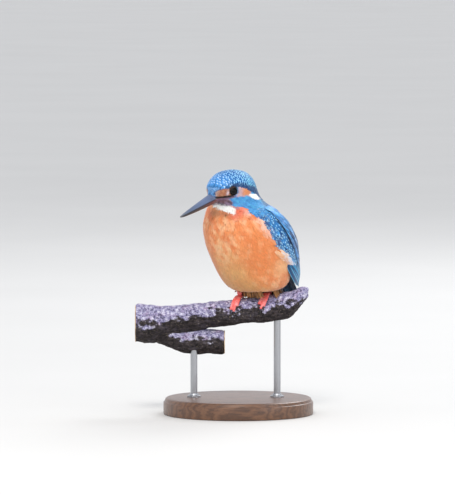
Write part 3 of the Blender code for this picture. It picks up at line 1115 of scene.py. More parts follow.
@dataclass(frozen=True)
class Markings:
    """The species' colours over the body, with painted shade and highlights in places, the same for skin and
    feathers.
    """

    orange: Array = paint(238, 146, 90)
    peach: Array = paint(253, 200, 154)
    deep: Array = paint(214, 104, 60)
    buff: Array = paint(226, 172, 112)
    pink: Array = paint(206, 172, 178)
    # painted shade below the gape
    mauve: Array = paint(128, 100, 122)
    pale: Array = paint(214, 198, 206)
    cream: Array = paint(238, 222, 196)
    white: Array = paint(246, 246, 242)
    # painted shade under the throat
    dusk: Array = paint(160, 122, 98)
    black: Array = paint(20, 18, 22)
    crown: Array = paint(22, 98, 168)
    band: Array = paint(16, 58, 112)
    azure: Array = paint(64, 158, 222)
    teal: Array = paint(34, 104, 138)
    cobalt: Array = paint(40, 104, 178)
    sky: Array = paint(158, 216, 246)
    lilac: Array = paint(206, 202, 220)
    edge: Line = (
        (0, 172), (8, 158), (13, 149), (20, 136), (25.5, 114), (30.6, 97), (37.7, 82), (46.5, 71), (56, 62.5),
        (58.8, 53), (61.7, 43.5), (64.8, 41), (65.6, 37), (66.4, 29), (66.9, 21), (70.8, 19), (74, 12))
    collar: Line = (
        (-9, 64.8), (-6.6, 64.1), (2.8, 63.2), (7.5, 62.7), (13.9, 61.4), (21, 60.4))
    banded: Line = ((-20, 5), (-9, 5), (-3, 3.5), (5, 2.4), (10, 1.5), (14, -0.2))
    brow: Line = (
        (-22, -9), (-15.4, -5), (-8.4, -1.8), (-4.5, -0.2), (-2.8, 0.6), (0, 2.0), (3.4, 3.1), (6.8, 3.7),
        (10.9, 4.3), (12.6, 3.6),
        (14, 2.6), (17.3, 2.4), (19.8, 1.9), (21.0, 0.6), (22.5, -1.5))

    def crowned(self, head: Array) -> Array:
        """Above 0 on the cap, in millimetres above its lower edge, for places in the head's axes.

        Args:
            head: Places in the head's axes.

        Returns:
            One height a place.
        """
        ahead, left, up = head.T
        over = up - np.interp(ahead, *zip(*self.brow))
        front = np.minimum(4.6 - np.abs(left), up + 3.0)
        return np.where(ahead > 14, np.maximum(over, front), over)

    def look(self, points: Array) -> Look:
        """The look of the coat at places in the bird's axes.

        Args:
            points: Places in the bird's axes.

        Returns:
            Their look.
        """
        forward, left, up = points.T
        head = AXES.to_head(points)
        ahead, wide, high = head[:, 0], np.abs(head[:, 1]), head[:, 2]
        angle = np.degrees(np.arctan2(np.abs(left), forward - 8))
        ragged, broad, middle, small = (ripple(points, wavelength, seed) for wavelength, seed in (
            (5.0, 11), (17.0, 12), (8.0, 13), (4.2, 14)))
        coat = Canvas(self.under_parts(points, angle, (broad, middle, small)))

        # the white throat with painted mauve shade over its top under the bill, and the blue back that begins
        # beside it
        turn = np.degrees(np.arctan2(left, forward - 8))
        low = np.interp(turn, *zip(*self.collar)) + ragged * 0.3
        white = soft(up - low, -0.7, 0.7) * soft(forward, 24, 28)
        white *= soft(turn, -14, -11) * soft(-turn, -25.5, -22.5)
        # painted shade: greyish mauve between the white throat and the malar, under the bill
        under_bill_shade = soft(up - np.interp(turn, (4, 15, 26), (69.0, 67.2, 64.6)) + ragged * 0.2, -0.5, 0.6)
        under_bill_shade_share = under_bill_shade * soft(turn, 9, 14) * soft(-turn, -32, -27) * soft(-up, -71, -69)
        coat.tint(swatch(150, 126, 152), under_bill_shade_share, 0.8)
        coat.whiten(white * (1 - under_bill_shade))
        behind = (forward - TAIL.root[0]) * TAIL.top()[0] + (up - TAIL.root[2]) * TAIL.top()[2]
        border = np.interp(up, *zip(*self.edge)) + 9 * soft(-left, 2, 6) * soft(up, 59, 62)
        upper = soft(angle - border + ragged, -1.5, 1.5)
        upper *= np.maximum(soft(up, 17, 21), soft(behind, -3, 0))
        # painted shade: a mauve-grey band on the chin under the bill
        chin_shade = soft(high + ragged * 0.25, -10.9, -9.6) * soft(ahead, 8, 11) * soft(-wide, -13, -11)
        shaded = mixed(swatch(84, 68, 88), swatch(138, 116, 142), soft(small, -0.4, 0.9))
        coat.tint(shaded, chin_shade * (1 - upper), 0.9)
        coat.white *= (1 - upper) * (1 - chin_shade)
        stripe = np.maximum(soft(-np.abs(left), -12, -4), soft(-up, -34, -24)) * soft(-forward, -2, 8)
        back = mixed(self.cobalt, self.azure, stripe)
        back = mixed(back, self.teal, soft(middle, 0.3, 1.6) * 0.4)
        malar = mixed(swatch(72, 152, 216), swatch(84, 184, 222), soft(small, 0.2, 1.6) * 0.6)
        malar = mixed(malar, swatch(38, 98, 166), soft(-small, 0.3, 1.6) * 0.6)
        coat.tint(mixed(back, malar, soft(up, 58, 62) * (1 - soft(-forward, -10, 0))), upper)
        coat.blue = upper.copy()

        # the face: painted mauve shade below the gape, the lores, the dark line through them, and the ear
        # coverts
        gape_at = -6.3 + (21.2 - ahead) * 0.31
        over_gape = high - gape_at + ragged * 0.2
        # painted shade: mauve below the gape, under the bill's base
        coat.cover(self.mauve, soft(ahead, 7.0, 11.0) * soft(over_gape, -1.5, -0.6) * soft(high, -8.4, -6.4)
                   * soft(up, 67, 69))
        patch = mixed(swatch(178, 116, 88), swatch(206, 150, 116), soft(small, 0, 1.5))
        patch = mixed(patch, swatch(206, 186, 180), soft(ahead, 18.5, 21) * 0.7)
        patch = mixed(patch, self.pale, np.exp(-((ahead - 14.6) / 0.8) ** 2 - ((high + 0.2) / 1.9) ** 2))
        coat.cover(patch, soft(over_gape, 0.4, 1.0) * soft(ahead, 9.5, 10.5))
        line_at = np.interp(ahead, (9.5, 13.9, 19.6, 22), (-2.0, -3.0, -3.8, -4.2))
        line = np.exp(-((high - line_at) / 0.9) ** 4) * soft(ahead, 8.5, 11) * soft(wide, 3.0, 4.2)
        ear = soft(-np.abs(ahead - 1.9) + ragged * 0.5, -6.9, -5.0) * soft(high + ragged * 0.3, -3.8, -2.6)
        warm = np.exp(-((ahead - 0.1) / 4.1) ** 4 - ((high - 0.3) / 3.4) ** 4)
        coat.cover(mixed(self.pink, swatch(222, 142, 96), warm), ear)
        tilt = high + 4.0 - (ahead + 8.5) * 0.19
        neck = 1 - soft(((ahead + 8.8) / 7.0) ** 2 + (tilt / 2.0) ** 2 + ragged * 0.12, 0.8, 1.15)
        neck *= soft(wide, 9, 12)
        coat.whiten(neck)

        # the barred cap with its dark lower band, and the black round the eye, reaching further above it as
        # painted shade under the brow
        over = self.crowned(head) + ragged * 0.25
        capped = soft(over, -0.3, 0.4)
        cap = capped * (1 - neck) * soft(up, 64, 67)
        banded = np.interp(ahead, *zip(*self.banded))
        top = mixed(self.crown, swatch(76, 152, 222), soft(ahead, 5, 17) * 0.9)
        coat.tint(mixed(self.band, top, soft(over - banded, 0, 2.2)), cap)
        coat.tint(self.band, soft(-ahead, 11, 17) * soft(up, 62, 66) * 0.8 * upper)
        coat.blue = np.maximum(coat.blue * (1 - capped), cap)
        coat.white *= 1 - cap
        strength = np.where(cap > 0.5, 0.12 + 0.85 * soft(over - banded, -0.3, 1.8), upper * 0.16)
        strength *= 1 - 0.35 * cap * soft(-ahead, 1, 9)
        # dark skin round the eye, and painted shade that reaches further above it under the brow
        rim = np.linalg.norm(np.stack([ahead, wide, high], 1) - EYE_AT, axis=1)
        around = 1 - soft(rim - 1.1 * soft(high - EYE_AT[2], 0.6, 2.6), 3.3, 3.85)
        coat.tint(self.black, np.maximum(line, around * 0.9))
        coat.blue *= 1 - line
        mark = mixed(self.sky, swatch(190, 220, 250), soft(ahead, 8, 15))
        mark = mixed(mark, swatch(150, 236, 250), soft(-ahead, -5, 7))
        kind = coat.kind()
        return Look(coat.colour, kind, mark, strength * (kind == Kind.BLUE.value))

    def under_parts(self, points: Array, angle: Array, ripples: tuple[Array, Array, Array]) -> Array:
        """The rufous breast and belly with their soft paler and deeper patches, a painted highlight on the
        breast, and painted shade under the throat and in the fold beside the neck.

        Args:
            points: Places in the bird's axes.
            angle: Degrees from the breast round the upright axis.
            ripples: The broad, middle and small unevenness there.

        Returns:
            One colour a place.
        """
        forward, left, up = points.T
        broad, middle, small = ripples
        colour = mixed(self.orange, self.peach, soft(middle, -0.3, 1.4) * 0.66)
        colour = mixed(colour, self.peach, soft(small, 0.4, 1.8) * 0.25)
        colour = mixed(colour, self.deep, soft(-broad - middle * 0.4, 0.1, 1.5) * 0.34)
        low = soft(-up, -36, -16) * (1 - soft(np.abs(left), 8, 24))
        colour = mixed(colour, self.buff, np.clip(low * 0.8 + soft(broad, 0.3, 1.6) * 0.2, 0, 0.9))
        flank = soft(angle, 28, 50) * soft(up, 8, 22) * (1 - soft(up, 44, 56))
        colour = mixed(colour, swatch(226, 132, 74), flank * 0.6)
        flanked = np.exp(-((angle - 106) / 17) ** 2 - ((up - 21.5) / 5.5) ** 2)
        colour = mixed(colour, swatch(246, 190, 138), flanked * 0.85)
        pale_edge = soft(angle - np.interp(up, *zip(*self.edge)), -17, -2) * soft(up, 36, 50)
        colour = mixed(colour, swatch(240, 196, 180), pale_edge * 0.8 * soft(small + middle, -1.2, 1.0))
        # painted shade: a deeper red patch in the fold between neck and shoulder, stronger on the bird's left
        offset = np.stack([forward, np.abs(left), up], 1) - (35.2, 14.1, 61.2)
        length = offset @ (0.57, -0.59, -0.57)
        beside = np.linalg.norm(offset - length[:, None] * (0.57, -0.59, -0.57), axis=1)
        red = np.exp(-(length / 7.5) ** 4 - (beside / 4.6) ** 2)
        colour = mixed(colour, swatch(228, 104, 86), red * np.where(left > 0, 0.82, 0.3))
        # painted highlight: paler peach on the front of the breast
        breast_highlight = np.exp(-(angle / 24) ** 2 - ((up - 33) / 8) ** 2) * soft(small + middle, -1.5, 0.8)
        colour = mixed(colour, swatch(253, 204, 150), breast_highlight * 0.5)
        vent = soft(-up, -9, 2) * soft(-forward, -6, 14)
        colour = mixed(colour, self.cream, vent * 0.35)
        # painted shade: a darker band just under the white throat, at the front
        throat_shade_share = soft(up, 56, 60.5) * (1 - soft(up, 61, 65)) * (1 - soft(angle, 12, 24))
        return mixed(colour, self.dusk, throat_shade_share * 0.5)


MARKINGS = Markings()
PALEST = 0.95


# ---- feathers


@dataclass(frozen=True)
class Vane:
    """One kind of feather: its outline, its grid and how it bends.

    A share of the length and a share of the half width belong to each row of the grid.
    """

    rows: tuple[float, ...]
    widths: tuple[float, ...]
    columns: int = 4
    rounding: float = 0.16
    fray: float = 0.05
    thick: float = 0.04
    camber: float = 0.14
    lift: float = 0.08
    roll: float = 0.04
    stray: float = 0.06
    vary: float = 0.04
    soften: float = 0.8
    under: float = 1.0

    def shares(self) -> Array:
        """The rows' shares of the length, ready to multiply places with."""
        return np.array(self.rows)[None, :, None]

    def pattern(self) -> tuple[Array, Array, Array, list[list[int]]]:
        """The closed lens-shaped pattern.

        Returns:
            Each corner's place across from -1 to 1, its row, its height and the faces.
        """
        bm = bmesh.new()
        bmesh.ops.create_grid(bm, x_segments=self.columns, y_segments=len(self.rows) - 1, size=1.0)
        for vert in bm.verts:
            rim = abs(vert.co.x) > 0.999 or abs(vert.co.y) > 0.999
            vert.co.z = 0.0 if rim else 1.0
        bmesh.ops.triangulate(bm, faces=bm.faces, quad_method="FIXED")
        under = bmesh.ops.duplicate(bm, geom=bm.verts[:] + bm.edges[:] + bm.faces[:])["geom"]
        for item in under:
            if isinstance(item, bmesh.types.BMVert):
                item.co.z *= -1
        bmesh.ops.reverse_faces(bm, faces=[i for i in under if isinstance(i, bmesh.types.BMFace)])
        bmesh.ops.remove_doubles(bm, verts=bm.verts, dist=1e-4)
        bm.verts.index_update()
        places = np.array([v.co for v in bm.verts])
        faces = [[v.index for v in face.verts] for face in bm.faces]
        bm.free()
        row = np.rint((places[:, 1] + 1) / 2 * (len(self.rows) - 1)).astype(int)
        return places[:, 0], row, places[:, 2], faces


BODY_VANE = Vane((0, 0.34, 0.64, 0.86, 1), (0.3, 0.85, 1.0, 0.82, 0.34), 4, 0.1, 0.03)
FACE_VANE = Vane((0, 0.4, 0.74, 1), (0.4, 0.95, 0.95, 0.55), 2, 0.1, 0.03, 0.03, lift=0.03)
CROWN_VANE = Vane((0, 0.3, 0.58, 0.8, 1), (0.35, 0.9, 1.0, 0.95, 0.6), 4, 0.1, 0.02, 0.035, lift=0.05,
                  vary=0.05, soften=0.6)
COVERT_VANE = Vane((0, 0.3, 0.55, 0.78, 0.93, 1), (0.35, 0.85, 1.0, 0.95, 0.7, 0.35), 4, 0.13, 0.02, 0.05,
                   soften=0.5, under=0.5)
LONG_VANE = Vane((0, 0.16, 0.34, 0.52, 0.7, 0.86, 0.96, 1), (0.4, 0.8, 0.96, 1.0, 0.96, 0.84, 0.58, 0.26),
                 4, 0.05, 0.006, 0.08, soften=0.4, under=0.22)


@dataclass
class Laid:
    """A batch of feathers of one kind, laid and ready to become a piece.

    The spine has a place and a normal for each row of the vane.
    """

    vane: Vane
    spine: Array
    normals: Array
    half: Array
    colour: Array
    down: Array
    mark: Array
    strength: Array
    kind: Array

    @classmethod
    def of(cls, vane: Vane, spine: Array, normals: Array, half: Array, colour: Array, down: float | Array,
           mark: Array, strength: float | Array = 0.0, kind: Kind = Kind.BLUE) -> "Laid":
        """A batch of one kind; down may be a share of the colour, and one mark or strength does for all.

        Args:
            vane: The kind of feather.
            spine: Places along each feather.
            normals: Normals along each feather.
            half: Half widths.
            colour: Each feather's colour.
            down: The root's colour, or its share of the colour.
            mark: The colour of the marks.
            strength: How strong the marks are.
            kind: What the feathers are coloured as.

        Returns:
            The batch.
        """
        count = len(half)
        return cls(vane, spine, normals, half, colour, colour * down if np.isscalar(down) else down,
                   np.broadcast_to(mark, (count, 3)), np.broadcast_to(strength, count),
                   np.full(count, kind.value))

    @classmethod
    def joined(cls, batches: Sequence["Laid"]) -> "Laid":
        """Several batches of the same vane as one."""
        return cls(batches[0].vane, *(np.concatenate(parts) for parts in zip(*(b.rows() for b in batches))))

    def rows(self) -> tuple[Array, ...]:
        """What each feather has its own of."""
        return (self.spine, self.normals, self.half, self.colour, self.down, self.mark, self.strength,
                self.kind)

    def on(self, side: Side) -> Array:
        """True for the feathers whose tips lie on this side."""
        return np.sign(self.spine[:, -1, 1] + 1e-9) == side.value

    def picked(self, mask: Array) -> "Laid":
        """Those feathers that the mask keeps."""
        return Laid(self.vane, *(part[mask] for part in self.rows()))

    def mesh(self, name: str, seed: int, pivot: Array) -> bpy.types.Mesh:
        """One mesh of all the feathers.

        Args:
            name: The mesh's name.
            seed: For the ragged tips.
            pivot: A place inside the body about which the coat is unwrapped.

        Returns:
            The mesh with its colours and both of its UV maps.
        """
        rng = np.random.default_rng(seed)
        across, row, rise, faces = self.vane.pattern()
        count, corners = len(self.half), len(across)
        widths = np.array(self.vane.widths)[row]
        tangent = unit(np.gradient(self.spine, axis=1))
        normal = unit(self.normals - tangent * (self.normals * tangent).sum(-1, keepdims=True))
        side = np.cross(tangent, normal)
        length = np.linalg.norm(self.spine[:, -1] - self.spine[:, 0], axis=1)
        skew = 1 + rng.normal(0, 0.07, (count, 1)) * across
        out = across * widths * self.half[:, None] * skew
        near_tip = np.array(self.vane.rows)[row] ** 4
        fray = self.vane.fray
        comb = np.clip(rng.normal(0, fray, (count, self.vane.columns + 1)), -fray * 1.4, fray * 2)
        column = np.rint((across + 1) / 2 * self.vane.columns).astype(int)
        along = (comb[:, column] - self.vane.rounding * across ** 2) * near_tip * length[:, None]
        lift = rise * self.vane.thick - self.vane.camber * self.half[:, None] * (across * widths) ** 2
        places = (self.spine[:, row] + side[:, row] * out[..., None] + tangent[:, row] * along[..., None]
                  + normal[:, row] * lift[..., None])
        mesh = bpy.data.meshes.new(name)
        every = np.array(faces) + np.arange(count)[:, None, None] * corners
        mesh.from_pydata(AXES.to_world(places.reshape(-1, 3)), [], every.reshape(-1, 3), shade_flat=False)
        reach = np.array(self.vane.rows)[row]
        crisp = 0.6 * (1 - self.vane.soften)
        facing = (normal[:, row] + side[:, row] * (across * crisp)[None, :, None]
                  + tangent[:, row] * (reach ** 3 * crisp)[None, :, None])
        facing *= np.where(rise < 0, -1.0, 1.0)[None, :, None]
        mesh.normals_split_custom_set_from_vertices((unit(facing).reshape(-1, 3) @ AXES.rows()).tolist())
        tint = self.down[:, None] + (self.colour - self.down)[:, None] * soft(reach, 0.12, 0.5)[None, :, None]
        tint = tint * np.where(rise < 0, self.vane.under, 1.0)[None, :, None]
        solid = np.ones((count, corners, 1))
        keep(mesh, "Tint", np.concatenate([tint, solid], 2).reshape(-1, 4))
        mark = np.repeat(self.mark[:, None], corners, 1)
        keep(mesh, "Mark", np.concatenate([mark, solid * self.strength[:, None, None]], 2).reshape(-1, 4))
        fine = np.stack([across / 2 + 0.5, reach], 1)
        self._map(mesh, "OFBake", self._patches(pivot, fine))
        self._map(mesh, "Vane", np.tile(fine, (count, 1)))
        mesh.uv_layers["Vane"].active_render = True
        return mesh

    def _patches(self, pivot: Array, fine: Array, size: float = 0.003, margin: float = 0.02) -> Array:
        """Small patches at the roots' places on a round unwrap about the pivot.

        Args:
            pivot: The place inside the body.
            fine: The pattern's own flat places.
            size: A patch's width.
            margin: What is left free at the map's rim.

        Returns:
            Flat places of all the corners.
        """
        ray = unit(self.spine[:, 0] - pivot)
        middle = unit(ray.mean(0))
        first = unit(np.cross(middle, (0.0, 0.1, 1.0) if abs(middle[2]) < 0.9 else (1.0, 0.0, 0.0)))
        second = np.cross(middle, first)
        turn = np.arccos(np.clip(ray @ middle, -1, 1))
        flat = unit(np.stack([ray @ first, ray @ second], 1)) * turn[:, None]
        flat = (flat - flat.min(0)) / np.maximum(np.ptp(flat, axis=0), 1e-6)
        flat = margin + flat * (1 - 2 * margin - size)
        return (flat[:, None] + fine[None] * size).reshape(-1, 2)

    @staticmethod
    def _map(mesh: bpy.types.Mesh, name: str, places: Array) -> None:
        """Stores a UV map.

        Args:
            mesh: The mesh.
            name: The map's name.
            places: A flat place for each corner.
        """
        layer = mesh.uv_layers.new(name=name)
        corner = np.empty(len(mesh.loops), np.int32)
        mesh.loops.foreach_get("vertex_index", corner)
        layer.uv.foreach_set("vector", places[corner].astype(np.float32).ravel())


@dataclass(frozen=True)
class Lie:
    """Which way the coat lies: back from the bill on the head, down to the tail on the body."""

    bill: Spot = (23.0, 0.0, -3.0)
    pull_to: Spot = (-36.0, 0.0, -16.0)

    def way(self, points: Array, normals: Array) -> Array:
        """The coat's direction along the surface at each place.

        Args:
            points: Places in the bird's axes.
            normals: The surface's normals there.

        Returns:
            One direction a place.
        """
        away = unit(points - AXES.from_head(self.bill))
        pull = unit(np.array(self.pull_to) - points)
        back_of_head = soft(-AXES.to_head(points)[:, 0], 4, 18)
        body = 1 - soft(points[:, 2], 60, 71)
        share = np.clip(0.14 + body + back_of_head * 0.55, 0, 1)
        wanted = mixed(away, pull, share)
        return unit(wanted - normals * (wanted * normals).sum(1, keepdims=True))


@dataclass(frozen=True)
class Growth:
    """Feather sizes over the body: length, half width and spacing in millimetres."""

    face: Spot = (1.6, 0.34, 0.46)
    cheek: Spot = (2.3, 0.46, 0.58)
    throat: Spot = (3.4, 0.62, 0.66)
    neck: Spot = (4.2, 0.75, 0.8)
    breast: Spot = (6.8, 0.74, 0.78)
    belly: Spot = (7.6, 0.82, 0.85)
    back: Spot = (5.8, 0.95, 0.92)

    def sizes(self, points: Array) -> Array:
        """Length, half width and spacing at each place, one row a place.

        Args:
            points: Places in the bird's axes.

        Returns:
            The sizes.
        """
        head = AXES.to_head(points)
        up, forward = points[:, 2], points[:, 0]
        rows = np.array(self.breast)
        for sizes, share in (
                (self.belly, soft(-up, -30, -14)), (self.back, soft(-forward, 4, 14)),
                (self.neck, soft(up, 57, 63)), (self.throat, soft(up, 60, 66) * soft(forward, 26, 32)),
                (self.cheek, soft(head[:, 2], -10, -6) * soft(head[:, 0], -12, -4)),
                (self.face, soft(head[:, 0], 5, 9) * soft(head[:, 2], -8, -5))):
            rows = mixed(rows, np.array(sizes), share)
        return rows


@dataclass
class Coat:
    """The body feathers: scattered roots, bent vanes from the skin to the outer surface."""

    form: Form
    lie: Lie = field(default_factory=Lie)
    growth: Growth = field(default_factory=Growth)
    eye_clear: float = 2.3
    bill_clear: float = 4.2
    legs: tuple[float, float] = (10.2, -11.0)
    leg_ahead: float = 0.2
    leg_clear: float = 3.2
    row_step: float = 5.7
    column_step: float = 5.3
    columns: int = 14
    cap_jitter: float = 0.007
    cap_size: tuple[float, float] = (4.0, 1.15)
    hung_beside: int = 560
    hung_between: int = 420

    def bare(self, points: Array) -> Array:
        """True where no feather grows: at the eyes, the bill, the legs and under the folded wings.

        Args:
            points: Places in the bird's axes.

        Returns:
            One truth a place.
        """
        head = AXES.to_head(points)
        eye = np.stack([head[:, 0], np.abs(head[:, 1]), head[:, 2]], 1) - EYE_AT
        outward = unit(np.array([0.28, 0.95, 0.08]))
        off_eye = np.linalg.norm(eye - (eye @ outward)[:, None] * outward, axis=1)
        at_eye = (off_eye < self.eye_clear) & (eye @ outward > 0)
        from_bill = head - BILL_START
        along = from_bill @ BILL_WAY
        off_bill = np.linalg.norm(from_bill - along[:, None] * BILL_WAY, axis=1)
        at_bill = (along > 0) & (off_bill < self.bill_clear - along * 0.12)
        off_legs = np.hypot(points[:, :1] - self.leg_ahead, points[:, 1:2] - self.legs).min(1)
        legs = (points[:, 2] < 14) & (off_legs < self.leg_clear)
        stump = (points - TAIL.at(0.42)) @ TAIL.way() > -3.0
        return at_eye | at_bill | legs | stump | WING.covers(points)

    def body(self, seed: int) -> list[Laid]:
        """Lays all the scattered feathers, the small ones of the face apart from the rest.

        Args:
            seed: Which random set.

        Returns:
            The face's feathers and the others.
        """
        def spacing(points: Array) -> Array:
            """Distance between roots, and none where the coat is bare or the cap's rows lie.

            Args:
                points: Places in the bird's axes.

            Returns:
                Millimetres, or 0 for none.
            """
            apart = self.growth.sizes(points)[:, 2]
            head = AXES.to_head(points)
            capped = (MARKINGS.crowned(head) > 0.1) & (points[:, 2] > 66)
            head[:, 1] = np.abs(head[:, 1])
            capped &= np.linalg.norm(head - EYE_AT, axis=1) > 5.4
            capped &= (head[:, 0] < 20.4) | (head[:, 2] > 2.5)
            return np.where(self.bare(points) | capped, 0.0, apart)

        roots = self.form.scatter(spacing, seed)
        small = self.growth.sizes(roots)[:, 0] < 3.0
        return [self.lay(roots[small], FACE_VANE, seed + 1), self.lay(roots[~small], BODY_VANE, seed + 2)]

    def cap(self, seed: int) -> Laid:
        """Lays the cap in curved rows over the head, so that its pale bars line up.

        Args:
            seed: Which random set.

        Returns:
            The laid feathers.
        """
        rng = np.random.default_rng(seed)
        pivot = AXES.from_head((0.0, 0.0, -6.0))
        roots = []
        for row, pitch in enumerate(np.radians(np.arange(8.0, 212.0, self.row_step))):
            for column in range(-self.columns, self.columns + 1):
                yaw = math.radians((column + row % 2 * 0.5) * self.column_step)
                ray = np.array([math.cos(pitch) * math.cos(yaw), math.sin(yaw),
                                math.sin(pitch) * math.cos(yaw)])
                hit = self.form.cast(pivot, (ray + rng.normal(0, self.cap_jitter, 3)) @ AXES.head_rows())
                if hit is not None:
                    roots.append(hit[0])
        found = np.array(roots)
        head = AXES.to_head(found)
        look = MARKINGS.look(found)
        keep_these = (MARKINGS.crowned(head) > 0.0) & (look.kind == Kind.BLUE.value) & ~self.bare(found)
        keep_these &= (found[:, 2] > 65) & ((head[:, 0] < 20.8) | (head[:, 2] > 2.2))
        laid = self.lay(found[keep_these], CROWN_VANE, seed + 1, self.cap_size)
        return laid.picked(laid.kind == Kind.BLUE.value)

    def hanging(self, seed: int) -> Laid:
        """Loose feathers that hang from the belly round the legs, their dark brown painted shade under the
        belly.

        Args:
            seed: Which random set.

        Returns:
            The laid feathers.
        """
        rng = np.random.default_rng(seed)
        beside = rng.uniform((-8, -1, 4), (9, 16, 7), (self.hung_beside, 3))
        beside[::2, 1] *= -1
        ridge = rng.uniform((-14, -4.5, 3), (19, 3.5, 7), (self.hung_between, 3)) + AXES.origin
        spots = np.concatenate([beside, AXES.to_bird(ridge * MM)])
        placed = AXES.to_world(spots) / MM - AXES.origin
        off_legs = placed[:, :1] - self.legs
        kept = (placed[:, 1] > 1.0) | ~((off_legs > -6.0) & (off_legs < 2.6)).any(1)
        roots, normals = self.form.near(spots[kept & (placed[:, 0] > self.legs[1] - 1.5)])
        count = len(roots)
        fall = np.clip(-1.3 + np.abs(rng.normal(0, 1.1, count)), -1.3, 2.4)
        outward = (roots + (6.0, 0.0, 0.0)) * (1.0, 0.8, 0.0)
        outward = unit(outward + rng.normal(0, 5.0, (count, 3)) * (1, 1, 0))
        back = rng.uniform(0.2, 0.9, count)
        height = np.clip(roots[:, 2] - fall, 2.2, 6.5)
        drop = np.stack([-back * height, rng.normal(0, 0.25, count) * height, fall - roots[:, 2]], 1)
        tip = roots + drop + outward * rng.uniform(-0.3, 0.5, (count, 1))
        bend = roots + drop * 0.45 + outward * rng.uniform(0.2, 0.7, (count, 1))
        start = roots - normals * 0.8 - drop * 0.25
        spine = curve(start, bend, tip, BODY_VANE.shares())
        # painted shade: buff to dark olive-brown, the shade in the gap between belly and perch
        colour = mixed(swatch(186, 132, 82), swatch(104, 72, 44), rng.uniform(0.2, 1, count))
        colour = np.clip(colour * (1 + rng.normal(0, 0.05, (count, 1))), 0, PALEST)
        return Laid.of(BODY_VANE, spine, np.repeat(outward[:, None], len(BODY_VANE.rows), 1),
                       rng.uniform(0.55, 0.8, count), colour, 0.85, MARKINGS.sky, kind=Kind.RUFOUS)

    def lay(self, roots: Array, vane: Vane, seed: int, sizes: tuple[float, float] | None = None) -> Laid:
        """Bends a feather from each root.

        Args:
            roots: Places on the outer surface, in the bird's axes.
            vane: The kind of feather.
            seed: For the small differences between feathers.
            sizes: Length and half width; the body's own sizes if left out.

        Returns:
            The laid feathers.
        """
        rng = np.random.default_rng(seed)
        count = len(roots)
        rows = self.growth.sizes(roots)
        if sizes is not None:
            rows[:, :2] = sizes
        _, normals = self.form.near(roots)
        way = self.lie.way(roots, normals)
        stray = rng.normal(0, vane.stray, (count, 1)) * np.cross(normals, way)
        way = unit(way + stray)
        length = rows[:, 0] * rng.uniform(0.86, 1.14, count)
        depth = skin_depth(roots)
        tip, tip_normal = self.form.near(roots + way * length[:, None])
        stand = np.abs(rng.normal(0, vane.lift, count)) + 0.02
        tip = tip + tip_normal * stand[:, None]
        start = roots - normals * (depth * 0.75)[:, None]
        bend = roots + way * (length * 0.5)[:, None] + normals * (depth * 0.05)[:, None]
        share = vane.shares()
        spine = curve(start, bend, tip, share)
        upward = unit(normals[:, None] * (1 - share) + tip_normal[:, None] * share)
        roll = rng.normal(0, vane.roll, (count, 1, 1))
        upward = unit(upward + np.cross(way, normals)[:, None] * roll)
        look = MARKINGS.look(tip)
        vary = 1 + rng.normal(0, vane.vary, (count, 1)) + rng.normal(0, 0.015, (count, 3))
        colour = np.clip(look.colour * vary, 0, PALEST)
        return Laid(vane, spine, upward, rows[:, 1] * rng.uniform(0.9, 1.12, count), colour, colour * 0.8,
                    look.mark, look.strength * rng.uniform(0.75, 1.1, count), look.kind)


def skin_depth(points: Array) -> Array:
    """How far the skin lies under the feather tips: least on the face, most on the breast.

    Args:
        points: Places in the bird's axes.

    Returns:
        Millimetres.
    """
    head = AXES.to_head(points)
    body = 1 - soft(points[:, 2], 58, 68)
    face = soft(head[:, 0], 4, 12) * soft(head[:, 2], -10, -5)
    return 1.35 + body * 1.1 - face * 0.6


# ---- wings and tail


@dataclass(frozen=True)
class WingPanel:
    """The folded wing as a chart on the body: across from its front edge, along from the shoulder.

    Edges are angles from the breast round an upright axis, with heights.
    """

    axis: float = 8.0
    lead: Line = (
        (56.0, 65.5), (60.0, 60.5), (64.0, 55.5), (71.5, 46.5), (82.0, 37.8), (97.0, 30.8), (112.0, 25.8),
        (131.0, 20.5), (146.0, 14.5))
    back: Line = (
        (90.0, 66.5), (101.0, 62.5), (113.0, 57.0), (127.0, 49.5), (138.0, 41.5), (147.0, 33.0),
        (152.0, 26.0), (154.0, 20.0), (153.0, 13.5))

    @staticmethod
    def edge_at(edge: Line, along: Array) -> Array:
        """Angle and height on an edge at each share along."""
        place = np.clip(along, 0, 1) * (len(edge) - 1)
        return np.stack([np.interp(place, range(len(edge)), column) for column in zip(*edge)], -1)

    def chart(self, across: Array, along: Array) -> Array:
        """Angle and height at each place of the chart."""
        return mixed(self.edge_at(self.lead, along), self.edge_at(self.back, along), across)

    def covers(self, points: Array) -> Array:
        """True where the wing's own feathers lie, for places in the bird's axes.

        Args:
            points: Places in the bird's axes.

        Returns:
            One truth a place.
        """
        angle = np.degrees(np.arctan2(np.abs(points[:, 1]), points[:, 0] - self.axis))
        front, rear = (np.interp(points[:, 2], *np.array(edge[::-1]).T[::-1])
                       for edge in (self.lead, self.back))
        inside = (angle > front + 1.5) & (angle < rear - 9)
        return inside & (points[:, 2] < 62.5) & (points[:, 2] > 22)


WING = WingPanel()


